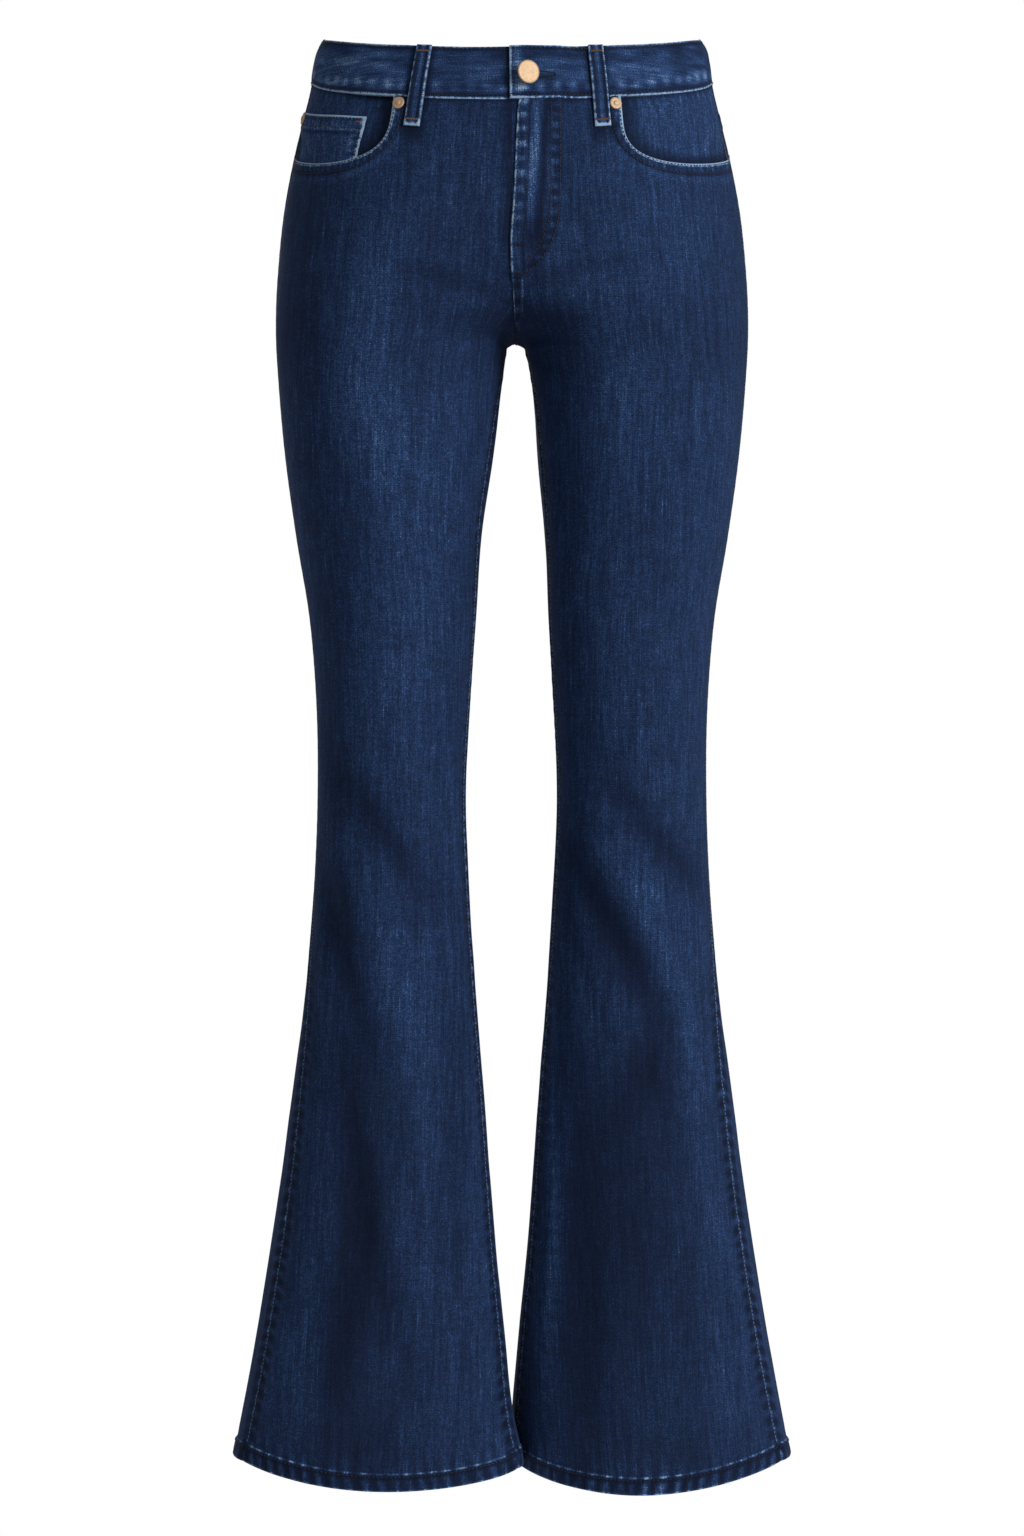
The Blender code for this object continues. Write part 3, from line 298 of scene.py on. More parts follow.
# The weave's unevenness: its grains' width and length, detail and roughness, and its share of the tone.
WEAVE = {
    "grain": (0.00088, 0.0010, 1.5, 0.75, 0.90), "slub": (0.0012, 0.022, 3.0, 0.6, 0.48),
    "streak": (0.0030, 0.060, 2.0, 0.5, 0.26), "weft": (0.014, 0.0011, 2.0, 0.5, 0.14),
    "patch": (0.0040, 0.0052, 2.0, 0.6, 0.18), "mottle": (0.011, 0.015, 2.0, 0.5, 0.11),
    "tick": (0.0022, 0.0022, 1.0, 0.5, 0.0),
}
TWILL_TONE = 0.050
LATTICE_TONE = 0.050
WORN_REACH = 0.0015
DENIM_TONES = {"denim_leg": 0.0, "denim_band": 0.01, "denim_pocket": 0.07, "denim_trim": 0.02}

# Stitches other than the usual ones: pitch, length and the thread's thickness.
SIDE_SEAM_STITCH = (0.0031, 0.0021, 0.00066)
INSEAM_STITCH = (0.0032, 0.0019, 0.00060)
HEM_STITCH = (0.0032, 0.0023, 0.00085)
RISE_STITCH = (0.0031, 0.0023, 0.00070)
BAND_END_STITCH = (0.0026, 0.0020, 0.00036)
LOOP_STITCH = (0.0029, 0.0021, 0.00070)
# How far the rows of stitches lie from the edges that they follow, and over the cloth.
INSETS = {
    "mouth": (0.0017, 0.0080), "coin_top": (0.0018, 0.0092), "jay": (0.0016, 0.0082),
    "fly_edge": (0.0016, 0.0075), "rise": (0.0016, 0.0066), "yoke": (0.0018, 0.0080),
    "seat": (0.0018, 0.0078), "back_pocket": (0.0017, 0.0076), "back_pocket_top": (0.0020, 0.0215),
}
LONG_SEAM_INSET = 0.0006
HEM_ROW_INSET = 0.0016
COIN_SIDE_INSET = 0.0022
BAND_TOP_INSET = 0.0021
BAND_BOTTOM_INSET = 0.0026
BAND_END_INSET = 0.0010
ON_SEAM = 0.0002
ON_LAYER = 0.0003
# Bar tacks: length, breadth, number of stitches and the thread's thickness.
MOUTH_TACK = (0.0085, 0.0026, 12, 0.00064)
COIN_TACK = (0.0058, 0.0018, 9, 0.00048)
LOOP_TACK = (0.0082, 0.0016, 14, 0.00046)
BUTTONHOLE_STITCH = (0.0, 0.0014, 1, 0.00055)
# The fly's two, each after its distance from the centre and its height.
FLY_TACKS = ((0.0090, -0.1535, (0.0130, 0.0022, 16, 0.00045)),
             (0.0055, -0.1725, (0.0070, 0.0020, 16, 0.00045)))

WHITE = (1.0, 1.0, 1.0, 1.0)
FLOOR_CORNERS = 96
SENSOR = 24.0
LIT_PLACE = (0.0, 0.0, -0.5)
# Each light's place and diameter, all aimed at the lit place.
LIGHTS = (("key", (2.7, -2.6, 0.6), 1.5), ("fill", (-2.4, -2.4, 0.2), 2.0), ("back", (-0.6, 3.2, 0.8), 2.0))

# ------------------------------ folds and creases
#
# Each runs on a curve set by three places: across, down, across, down, across, down, width, depth. Places
# across are percents of the face, and the rest is in millimetres, with down counted from the waist. Troughs
# have a depth below zero, ridges above. The large folds are the solids' own.

FOLD_UNITS = (PERCENT, -MM_PER_M, PERCENT, -MM_PER_M, PERCENT, -MM_PER_M, MM_PER_M)
FOLD_STEPS = 25
FOLD_FADE = 0.10
CREASE_FADE = 0.035

FOLDS = {
    (RIGHT, FRONT): (
        (16, 505, 36, 580, 76, 640, 13, -2.2), (14, 605, 26, 665, 40, 750, 13, -3.4),
        (36, 625, 50, 690, 60, 800, 18, 1.6), (24, 740, 34, 860, 60, 985, 17, -4.2),
        (20, 900, 26, 980, 34, 1060, 18, 0.8), (60, 980, 52, 1020, 44, 1062, 20, -2.2),
        (52, 168, 76, 180, 97, 192, 7, -1.4), (62, 212, 80, 204, 97, 199, 6, -1.2),
    ),
    (LEFT, FRONT): (
        (66, 545, 40, 600, 10, 625, 13, -2.6), (86, 590, 62, 660, 40, 715, 14, -3.6),
        (40, 715, 42, 760, 62, 800, 16, -2.6), (60, 600, 34, 680, 22, 760, 20, 2),
        (74, 760, 74, 900, 70, 1062, 20, -4.6), (36, 800, 34, 930, 30, 1062, 26, 0.6),
        (97, 176, 78, 172, 50, 164, 7, -1.4), (97, 197, 82, 206, 62, 210, 6, -1.4),
    ),
    (RIGHT, BACK): (
        (30, 236, 60, 232, 88, 222, 10, -2.6), (20, 560, 50, 585, 80, 565, 13, -3),
        (26, 640, 50, 625, 72, 640, 12, -2.2), (40, 720, 34, 880, 28, 1058, 20, -3.6),
        (72, 800, 70, 930, 66, 1058, 20, -3),
    ),
    (LEFT, BACK): (
        (28, 232, 60, 236, 88, 224, 10, -2.6), (22, 575, 50, 570, 78, 590, 13, -3),
        (30, 625, 52, 650, 74, 640, 12, -2.2), (46, 740, 40, 890, 36, 1058, 20, -3.4),
        (76, 780, 74, 930, 72, 1058, 20, -3.2),
    ),
}

CREASES = {
    (RIGHT, FRONT): (
        (58, 150, 78, 158, 96, 172, 4.5, -0.6), (50, 186, 74, 190, 96, 198, 4, 0.5),
        (56, 224, 78, 214, 97, 206, 4.5, -0.7), (62, 246, 82, 232, 97, 219, 5, -0.5),
        (6, 158, 22, 166, 44, 162, 3.5, 0.4), (6, 170, 22, 177, 46, 173, 4, -0.4),
        (70, 530, 50, 560, 32, 566, 7, -0.7), (20, 575, 44, 610, 66, 612, 6, 0.7),
        (30, 640, 56, 655, 84, 640, 7, -0.6), (12, 690, 22, 745, 30, 830, 7.5, 1),
        (62, 720, 66, 830, 74, 930, 10, 0.8), (80, 840, 80, 930, 84, 1040, 9, -0.7),
        (46, 900, 54, 960, 60, 1045, 8.5, 1),
    ),
    (LEFT, FRONT): (
        (97, 160, 78, 154, 56, 150, 4.5, -0.5), (97, 188, 76, 188, 50, 184, 4.5, 0.6),
        (97, 207, 80, 218, 58, 224, 4.5, -0.7), (97, 220, 84, 238, 66, 250, 5.5, -0.6),
        (44, 160, 22, 168, 6, 162, 4, -0.3), (80, 560, 60, 575, 34, 572, 6.5, 0.7),
        (50, 620, 30, 640, 10, 650, 6, 0.7), (90, 630, 74, 690, 60, 740, 8, -0.9),
        (30, 660, 22, 700, 12, 730, 7, -0.7), (54, 740, 50, 800, 40, 860, 9, 1),
        (86, 830, 88, 940, 86, 1040, 9, 0.9), (56, 880, 54, 960, 50, 1045, 10, -0.8),
        (16, 860, 16, 950, 14, 1040, 8, -0.7),
    ),
    (RIGHT, BACK): (
        (40, 214, 64, 214, 92, 208, 4.5, -0.9), (36, 256, 60, 252, 86, 238, 5, -0.8),
        (30, 548, 56, 556, 84, 540, 6, -1.2), (22, 590, 48, 606, 80, 596, 6, 1),
        (34, 608, 58, 600, 84, 618, 5.5, -1.1), (24, 664, 46, 672, 70, 668, 6.5, -0.8),
        (52, 760, 50, 880, 50, 1030, 10, 1), (20, 850, 16, 950, 14, 1040, 8.5, -0.8),
    ),
    (LEFT, BACK): (
        (38, 216, 66, 216, 92, 210, 4.5, -0.9), (40, 254, 62, 256, 86, 240, 5, -0.8),
        (24, 544, 50, 548, 80, 560, 6, -1.1), (26, 600, 50, 592, 82, 612, 6, 1),
        (24, 606, 50, 622, 80, 612, 5.5, -1.2), (30, 668, 54, 676, 76, 664, 6.5, -0.8),
        (58, 770, 56, 890, 54, 1030, 10, 1), (22, 840, 20, 940, 18, 1040, 8.5, -0.8),
    ),
}

# Painted shade and painted light beyond the folds: the cloth is painted darker in the folds' shade and on
# stretches turned from the key light, and paler where the light falls. The same curves, with a change of tone
# in percent in place of a depth.
PAINTED_LIGHT_AND_SHADE = {
    (RIGHT, FRONT): (
        (32, 742, 46, 846, 53, 956, 12, -20), (40, 853, 37, 949, 41, 1030, 17, -28),
        (38, 543, 47, 580, 64, 628, 10, -12), (29, 617, 35, 654, 42, 676, 11, -18),
        (43, 698, 51, 772, 57, 853, 20, -17), (42, 145, 45, 226, 46, 322, 24, 13),
        (33, 900, 33, 970, 34, 1050, 16, -17), (12, 1040, 42, 1040, 72, 1040, 26, -13),
        (82, 690, 78, 810, 73, 930, 18, -11), (40, 300, 44, 345, 46, 400, 24, -6),
        (12, 480, 15, 380, 13, 250, 10, 12),
    ),
    (LEFT, FRONT): (
        (63, 514, 46, 587, 23, 617, 9, -12), (65, 624, 51, 661, 45, 706, 14, -24),
        (48, 735, 53, 809, 55, 1023, 24, -24), (34, 632, 36, 853, 40, 1030, 22, -16),
        (62, 160, 58, 219, 52, 278, 20, 9), (30, 632, 20, 790, 16, 900, 12, 5),
        (96, 691, 83, 853, 84, 1001, 8, 20), (28, 870, 31, 960, 34, 1045, 16, -12),
        (20, 1040, 44, 1040, 66, 1040, 22, -12), (44, 270, 44, 390, 42, 520, 22, -7),
    ),
}


# ------------------------------ the form

def eased(value, start, end):
    """0 before start, 1 past end, and smooth between them."""
    t = np.clip((value - start) / (end - start), 0.0, 1.0)
    return t * t * (3 - 2 * t)


def hump(value, centre, width):
    """1 at the centre, falling to nothing on both sides."""
    return np.exp(-((value - centre) / width) ** 2)


def unit(vectors):
    return vectors / np.linalg.norm(vectors, axis=-1, keepdims=True)


def inner_reach(side, face, height):
    """How far the section runs from its fullest place towards the centre plane, and past it."""
    full = np.maximum(SHAPE("full", height), 0.0)
    above = height + WAIST_TO_CROTCH
    climb = np.clip(above / RISE_BEND[face], 0.0, 1.0)
    fullness = (1 - (1 - climb) ** RISE_POWER) ** (1 / RISE_POWER)
    if face == BACK:
        cleft = SEAT_CLEFT * (1 - eased(height, SEAT_CLEFT_FULL, SEAT_CLEFT_TOP))
        fullness = fullness * (1 - cleft)
    fullness = np.clip(fullness, 0.0, FULLEST)
    torso = full / (1 - fullness**SECTION_POWER) ** (1 / SECTION_POWER)
    return np.where(above > 0, torso, full - INNER(SIDE_NAMES[side], height))


def section(side, face, height):
    """Points on one face of one half at each height, from the side seam to the centre or the inseam."""
    height = height[:, None]
    outer, turn = SHAPE("outer", height), SHAPE("side", height)
    full = np.maximum(SHAPE("full", height), 0.0)
    reach = inner_reach(side, face, height)
    centre_angle = np.arccos(-np.clip(full / np.maximum(reach, 1e-9), 0, 1) ** (SECTION_POWER / 2))
    first = face * np.radians(SEAMS("side_seam", height))
    at_inseam = math.pi - face * np.radians(SEAMS("inseam", height))
    last = np.where(height < -WAIST_TO_CROTCH, at_inseam, centre_angle)
    angle = first + (last - first) * np.linspace(0, 1, SECTION_SAMPLES)[None, :]
    along = np.abs(np.cos(angle)) ** (2 / SECTION_POWER)
    outward = np.where(np.cos(angle) >= 0, full + (outer - full) * along, full - reach * along)
    near, far = ("front", "back") if face == FRONT else ("back", "front")
    depth = np.where(np.sin(angle) >= 0, SHAPE(near, height) - turn, SHAPE(far, height) - turn)
    forward = turn + depth * np.abs(np.sin(angle)) ** (2 / SECTION_POWER)
    forward = forward + np.where(np.cos(angle) < 0, side * SWING("swing", height) * along**2, 0.0)
    return side * outward + CENTRE("stray", height) * (1 - np.abs(outward) / outer), forward


def soft_noise(across, along, seed):
    """A smooth, seeded unevenness between -1 and 1, with one bump to each unit of its two places."""
    size = 64
    lattice = np.random.default_rng(seed).uniform(-1, 1, (size, size))
    first, second = np.floor(across).astype(int), np.floor(along).astype(int)
    u, v = across - first, along - second
    u, v = u * u * (3 - 2 * u), v * v * (3 - 2 * v)
    corner = [[lattice[(first + i) % size, (second + j) % size] for j in (0, 1)] for i in (0, 1)]
    near = corner[0][0] * (1 - u) + corner[1][0] * u
    far = corner[0][1] * (1 - u) + corner[1][1] * u
    return near * (1 - v) + far * v


def fold_sum(rows, across, height, length, unit_of_depth=MM_PER_M):
    """What a list of folds adds at each place."""
    total = np.zeros(np.shape(height))
    for row in rows:
        row = np.array(row) / (*FOLD_UNITS, unit_of_depth)
        across_1, height_1, across_2, height_2, across_3, height_3, width, depth = row
        heights = (height_1, height_2, height_3)
        near = (height < max(heights) + 3 * width) & (height > min(heights) - 3 * width)
        if not near.any():
            continue
        a, h, span = across[near], height[near], length[near]
        nearest, where = np.full(h.shape, np.inf), np.zeros(h.shape)
        for t in np.linspace(0, 1, FOLD_STEPS):
            path_across = (1 - t) ** 2 * across_1 + 2 * t * (1 - t) * across_2 + t * t * across_3
            path_height = (1 - t) ** 2 * height_1 + 2 * t * (1 - t) * height_2 + t * t * height_3
            gap = np.hypot((a - path_across) * span, h - path_height)
            closer = gap < nearest
            nearest, where = np.where(closer, gap, nearest), np.where(closer, t, where)
        swell = 0.35 + 0.65 * np.sin(math.pi * where)
        total[near] += depth * swell * hump(nearest, 0.0, width)
    return total


class Form:
    """One face of one half of the garment, as a fine table of places that is read between its rows."""

    COLUMNS = 257

    def __init__(self, side, face):
        self.side, self.face = side, face
        coarse = np.arange(FORM_TOP, FORM_BOTTOM, -FORM_STEP)
        crotch = -WAIST_TO_CROTCH + np.linspace(-CROTCH_REACH, CROTCH_REACH, CROTCH_ROWS)
        self.height = np.unique(np.concatenate([coarse, crotch]))
        sideways, forward = section(side, face, self.height)
        steps = np.hypot(np.diff(sideways, axis=1), np.diff(forward, axis=1))
        run = np.concatenate([np.zeros((len(steps), 1)), np.cumsum(steps, axis=1)], axis=1)
        crease_side = side * SHAPE("crease", self.height)
        self.lengths = run[:, -1]
        self.creases = np.array([np.interp(side * -place, side * -row, distance)
                                 for place, row, distance in zip(crease_side, sideways, run)])
        across = np.linspace(0, 1, self.COLUMNS)[None, :]
        crease, length = self.creases[:, None], self.lengths[:, None]
        places = np.empty((len(run), self.COLUMNS, 3))
        for row, wanted in enumerate(self.between(across, crease, length)):
            places[row, :, 0] = np.interp(wanted, run[row], sideways[row])
            places[row, :, 1] = np.interp(wanted, run[row], forward[row])
        places[..., 2] = self.height[:, None]
        over = np.gradient(places, axis=1)
        up = np.gradient(places, self.height, axis=0)
        self.places, self.normals = places, unit(np.cross(up, over) * side * face)

    def _read(self, table, across, height):
        row = np.clip(np.searchsorted(self.height, height) - 1, 0, len(self.height) - 2)
        t = np.clip((height - self.height[row]) / (self.height[row + 1] - self.height[row]), 0, 1)
        if table.ndim == 1:
            return table[row] * (1 - t) + table[row + 1] * t
        place = np.clip(across, 0, 1) * (self.COLUMNS - 1)
        column = np.clip(place.astype(int), 0, self.COLUMNS - 2)
        s, t = (place - column)[..., None], t[..., None]
        low = table[row, column] * (1 - s) + table[row, column + 1] * s
        high = table[row + 1, column] * (1 - s) + table[row + 1, column + 1] * s
        return low * (1 - t) + high * t

    @staticmethod
    def between(across, crease, length):
        """Distance from the side seam: half of the fraction lies before the crease line, and half past it."""
        return np.where(across < 0.5, 2 * across * crease, crease + (2 * across - 1) * (length - crease))

    def plain(self, across, height):
        """Places and normals on the form without folds."""
        across, height = np.broadcast_arrays(np.asarray(across, float), np.asarray(height, float))
        return self._read(self.places, across, height), unit(self._read(self.normals, across, height))

    def length(self, height):
        return self._read(self.lengths, None, np.asarray(height, float))

    def crease(self, height):
        return self._read(self.creases, None, np.asarray(height, float))

    def from_side(self, across, height):
        """Distance along the cloth from the side seam."""
        return self.between(across, self.crease(height), self.length(height))

    def at_distance(self, distance, height):
        """The fraction across at a distance from the side seam."""
        length, crease = self.length(height), self.crease(height)
        return np.where(distance < crease, 0.5 * distance / crease,
                        0.5 + 0.5 * (distance - crease) / (length - crease))

    def at_centre_distance(self, distance, height):
        return self.at_distance(self.length(height) - distance, height)

    def folds(self, across, height):
        """How far the folds, the creases and the cloth's slight unevenness push it out."""
        across, height = np.broadcast_arrays(across, height)
        length = self.length(height)
        key = (self.side, self.face)
        from_edge = np.minimum(across, 1 - across)
        strength = bpy.context.scene.jeans_cloth.crease_strength
        folds = fold_sum(FOLDS[key], across, height, length) * eased(from_edge, 0.0, FOLD_FADE)
        creases = fold_sum(CREASES[key], across, height, length) * eased(from_edge, 0.0, CREASE_FADE)
        seed = 11 * self.side + 3 * self.face + UNEVEN_SEED
        uneven = sum(depth * soft_noise(across * length / over, height / along, seed + number)
                     for number, (depth, over, along) in enumerate(UNEVEN))
        return folds + creases * strength + uneven * eased(from_edge, 0.0, UNEVEN_FADE) * strength

    def place(self, across, height, lift=0.0):
        """Places on the folded cloth at a lift, and the form's normals there."""
        points, normals = self.plain(across, height)
        return points + normals * (self.folds(across, height) + lift)[..., None], normals


FORMS = {}


def form(side, face):
    if (side, face) not in FORMS:
        FORMS[(side, face)] = Form(side, face)
    return FORMS[(side, face)]


# ------------------------------ edges

def round_from_side(across):
    return 1 - (1 - np.clip(across, 0.0, 1.0)) ** BAND_TURN_POWER


def corner_dip(across):
    return BAND_CORNER_DIP * hump(across, 0.0, BAND_CORNER_REACH)


def band_top(face, across):
    rise = BAND_BACK_RISE if face == BACK else -BAND_FRONT_DROP
    return BAND_TOP_SIDE + rise * round_from_side(across) - corner_dip(across)


def band_bottom(face, across):
    widen = BAND_FRONT_WIDEN * round_from_side(across) if face == FRONT else 0.0
    return band_top(face, across) + corner_dip(across) - BAND_WIDTH_SIDE - widen


def yoke_seam(across):
    return YOKE_SIDE + (YOKE_CENTRE - YOKE_SIDE) * across


def hem_edge(side, face, across):
    belly = np.sin(math.pi * np.clip(across, 0, 1) ** HEM_BELLY_SKEW) ** HEM_BELLY_POWER[face]
    return HEM_HEIGHT - HEM_INNER_DROP[side] * across - HEM_DROP[face] * belly


def mouth_level(side, across, height):
    """1 on the pocket mouth, less inside its opening and more under the front panel."""
    size = MOUTH[side]
    over = across / size["across"]
    below = np.maximum(band_bottom(FRONT, across) - height, 0.0) / size["depth"]
    return (over ** size["power"] + below ** size["power"]) ** (1 / size["power"])


def mouth_drop(side, across, larger=1.0):
    """How far the mouth lies below the waist seam, zero past its inner end."""
    size = MOUTH[side]
    share = np.clip(across / (size["across"] * larger), 0.0, 1.0)
    return size["depth"] * larger * (1 - share ** size["power"]) ** (1 / size["power"])


def mouth_path(side, count=90):
    """The pocket mouth on the flat cloth: fractions across, and heights."""
    turn = np.linspace(0, math.pi / 2, count)
    size = MOUTH[side]
    across = size["across"] * np.sin(turn) ** (2 / size["power"])
    return across, band_bottom(FRONT, across) - size["depth"] * np.cos(turn) ** (2 / size["power"])


def facing_lift(side, across, height):
    """How far the facing, and the coin pocket on it, dips in to pass under the front panel."""
    under = CLOTH + FACING_GAP
    if side == RIGHT:
        under += COIN_POCKET_CLOTH + COIN_POCKET_GAP
    return -under * eased(mouth_level(side, across, height), FACING_DIP_START, FACING_DIP_END)


def graded(mesh, growth=STEP_GROWTH):
    """Fractions from 0 to 1 whose spacing widens from both ends to the middle, in an even number of steps."""
    total, fine, coarse = GRADES[mesh]
    half, step = [0.0], fine
    while half[-1] < total / 2:
        half.append(half[-1] + step)
        step = min(step * growth, coarse)
    half = np.array(half) * (total / 2) / half[-1]
    return np.concatenate([half, total - half[-2::-1]]) / total


def even_steps(values):
    """The same values with one more between the last two where that makes their steps even in number."""
    if len(values) % 2:
        return values
    return np.concatenate([values[:-1], (values[-2:-1] + values[-1:]) / 2, values[-1:]])


def gap_to_path(over, height, path_over, path_height, reach):
    """Distance to a path drawn on the flat cloth and how far along it the nearest place lies."""
    gap = np.full(over.shape, np.inf)
    run = np.zeros(over.shape)
    near = ((over > path_over.min() - reach) & (over < path_over.max() + reach)
            & (height > path_height.min() - reach) & (height < path_height.max() + reach))
    o, h = over[near], height[near]
    best, where = np.full(o.shape, np.inf), np.zeros(o.shape)
    along = np.concatenate([[0], np.cumsum(np.hypot(np.diff(path_over), np.diff(path_height)))])
    path = list(zip(path_over, path_height, along))
    for (over_1, height_1, along_1), (over_2, height_2, along_2) in zip(path, path[1:]):
        wide, tall = over_2 - over_1, height_2 - height_1
        size = max(wide**2 + tall**2, 1e-12)
        t = np.clip(((o - over_1) * wide + (h - height_1) * tall) / size, 0, 1)
        distance = np.hypot(o - over_1 - t * wide, h - height_1 - t * tall)
        closer = distance < best
        best = np.where(closer, distance, best)
        where = np.where(closer, along_1 + t * (along_2 - along_1), where)
    gap[near], run[near] = best, where
    return gap, run


def ripple(run, kind, shift=0):
    """An uneven wave along a seam, between -1 and 1: the puckers that sewing and washing leave."""
    period, seed = RIPPLES[kind]
    strain = soft_noise(run / (period * STRAIN_LENGTH), run * 0 + 0.5, seed + shift)
    swell = soft_noise(run / (period * SWELL_LENGTH), run * 0 + 7.5, seed + shift)
    swell = LEAST_SWELL + (1 - LEAST_SWELL) * swell
    return np.sin(2 * math.pi * run / period + STRAIN * strain) * swell


def roping(run, kind, shift=0):
    """A ripple, and the light blocks with dark gaps that it leaves in the colour, between -1 and 1."""
    period, seed = RIPPLES[kind]
    wave = ripple(run, kind, shift)
    break_up = soft_noise(run / period * 1.7, run * 0 + 3.5, seed + shift + 5)
    return wave, np.tanh(1.7 * (wave - 0.10 + 0.55 * break_up))


# ------------------------------ meshes

def add_piece(name, vertices, faces, finish, attributes=None, smooth_angle=55.0):
    """A visible piece with its finish, riding on the garment's one body."""
    mesh = bpy.data.meshes.new(name)
    mesh.from_pydata(np.asarray(vertices).tolist(), [], faces)
    mesh.materials.append(finish_named(finish))
    for key, values in (attributes or {}).items():
        values = np.asarray(values, dtype=np.float32)
        kind, member = ("FLOAT_VECTOR", "vector") if values.ndim == 2 else ("FLOAT", "value")
        mesh.attributes.new(key, kind, "POINT").data.foreach_set(member, values.ravel())
    mesh.shade_smooth()
    mesh.set_sharp_from_angle(angle=math.radians(smooth_angle))
    made = bpy.data.objects.new(f"{name}_cloth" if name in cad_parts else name, mesh)
    bpy.context.scene.collection.objects.link(made)
    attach(made, "root")
    return made


def lay_cloth(node, grid, thickness, finish):
    """A thin sheet of cloth: a fine outer face, a coarser inner face, and the rim between them.

    The grid has an even number of steps each way, and every second place has a partner inside. Its plain
    places give the size of the flat cloth that the piece was cut from, which is worked out and not kept. The
    sheet hides the plain solid it stands for.
    """
    points, normals = grid.pop("points"), grid.pop("normals")
    inner = points[::2, ::2] - normals[::2, ::2] * thickness
    count, count_inside = points[..., 0].size, inner[..., 0].size
    index = np.arange(count).reshape(points.shape[:2])
    within_it = count + np.arange(count_inside).reshape(inner.shape[:2])

    def quads(grid_of, turns):
        a, b, c, d = grid_of[:-1, :-1], grid_of[:-1, 1:], grid_of[1:, 1:], grid_of[1:, :-1]
        return np.stack([a, b, c, d] if turns else [a, d, c, b], axis=-1).reshape(-1, 4).tolist()

    faces = quads(index, True) + quads(within_it, False)
    for fine, coarse in ((index[0], within_it[0]), (index[:, -1], within_it[:, -1]),
                         (index[-1, ::-1], within_it[-1, ::-1]), (index[::-1, 0], within_it[::-1, 0])):
        rim = (fine[2::2], fine[1::2], fine[:-1:2], coarse[:-1], coarse[1:])
        faces += np.stack(rim, axis=-1).tolist()
    if np.cross(points[1, 1] - points[0, 0], points[1, 0] - points[0, 1]) @ normals[0, 0] > 0:
        faces = [face[::-1] for face in faces]

    width, length, area = cut_size(grid.pop("plain"))
    attributes = {}
    for key, values in grid.items():
        tail = values.shape[2:]
        attributes[key] = np.concatenate([values.reshape(-1, *tail), values[::2, ::2].reshape(-1, *tail)])
    attributes["inside"] = np.repeat((0.0, 1.0), (count, count_inside))
    vertices = np.concatenate([points.reshape(-1, 3), inner.reshape(-1, 3)])
    piece = add_piece(node, vertices, faces, finish, attributes)
    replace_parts(piece, node)


def cut_size(points):
    """The width, length and area of the flat cloth that a grid of places is made of."""
    over = np.linalg.norm(np.diff(points, axis=1), axis=-1)
    down = np.linalg.norm(np.diff(points, axis=0), axis=-1)
    width, length = float(over.sum(axis=1).max()), float(down.sum(axis=0).max())
    first = np.cross(points[1:, 1:] - points[:-1, :-1], points[1:, :-1] - points[:-1, 1:])
    area = float(np.linalg.norm(first, axis=-1).sum() / 2)
    return round(width, 3), round(length, 3), round(min(area, width * length), 4)


# ------------------------------ finishes

class Finish:
    """A material's nodes, added one after another."""

    def __init__(self, name):
        self.material = bpy.data.materials.new(name)
        self.material.use_nodes = True
        self.tree = self.material.node_tree
        self.shader = self.tree.nodes["Principled BSDF"]

    def feed(self, made, values):
        """Gives each named or numbered socket its link or its value."""
        for key, value in values.items():
            if isinstance(value, bpy.types.NodeSocket):
                self.tree.links.new(value, made.inputs[key])
            else:
                made.inputs[key].default_value = value

    def node(self, kind, values, **settings):
        made = self.tree.nodes.new(f"ShaderNode{kind}")
        for key, value in settings.items():
            setattr(made, key, value)
        self.feed(made, values)
        return made

    def surface(self, **values):
        """The shader's own sockets, with _ for each space in their names."""
        self.feed(self.shader, {key.replace("_", " "): value for key, value in values.items()})

    def attribute(self, name):
        return self.node("Attribute", {}, attribute_name=name).outputs

    def math(self, operation, first, second=0.0, third=None, clamp=False):
        values = {0: first, 1: second} if third is None else {0: first, 1: second, 2: third}
        return self.node("Math", values, operation=operation, use_clamp=clamp).outputs[0]

    def total(self, first, *others):
        for other in others:
            first = self.math("ADD", first, other)
        return first

    def product(self, first, second):
        return self.math("MULTIPLY", first, second)

    def stripes(self, vector, factors):
        """A sine wave across the cloth."""
        made = self.node("VectorMath", {0: vector, 1: factors}, operation="DOT_PRODUCT")
        return self.math("SINE", made.outputs["Value"])

    def noise(self, vector, factors, detail=2.0, rough=0.5):
        """Unevenness with this many grains to the metre each way."""
        scaled = self.node("VectorMath", {0: vector, 1: factors}, operation="MULTIPLY").outputs[0]
        made = self.node("TexNoise", {"Vector": scaled, "Scale": 1.0, "Detail": detail, "Roughness": rough})
        return made.outputs[0]

    def object_place(self):
        return self.node("TexCoord", {}).outputs["Object"]

    def ramp(self, factor, *stops):
        made = self.node("ValToRGB", {"Fac": factor})
        ramp = made.color_ramp
        while len(ramp.elements) < len(stops):
            ramp.elements.new(0.5)
        for element, (place, colour) in zip(ramp.elements, stops):
            element.position = place
            element.color = (*colour, 1.0)
        return made.outputs["Color"]

    def bump(self, height, strength, distance):
        made = self.node("Bump", {"Strength": strength, "Distance": distance, "Height": height})
        self.surface(Normal=made.outputs[0])


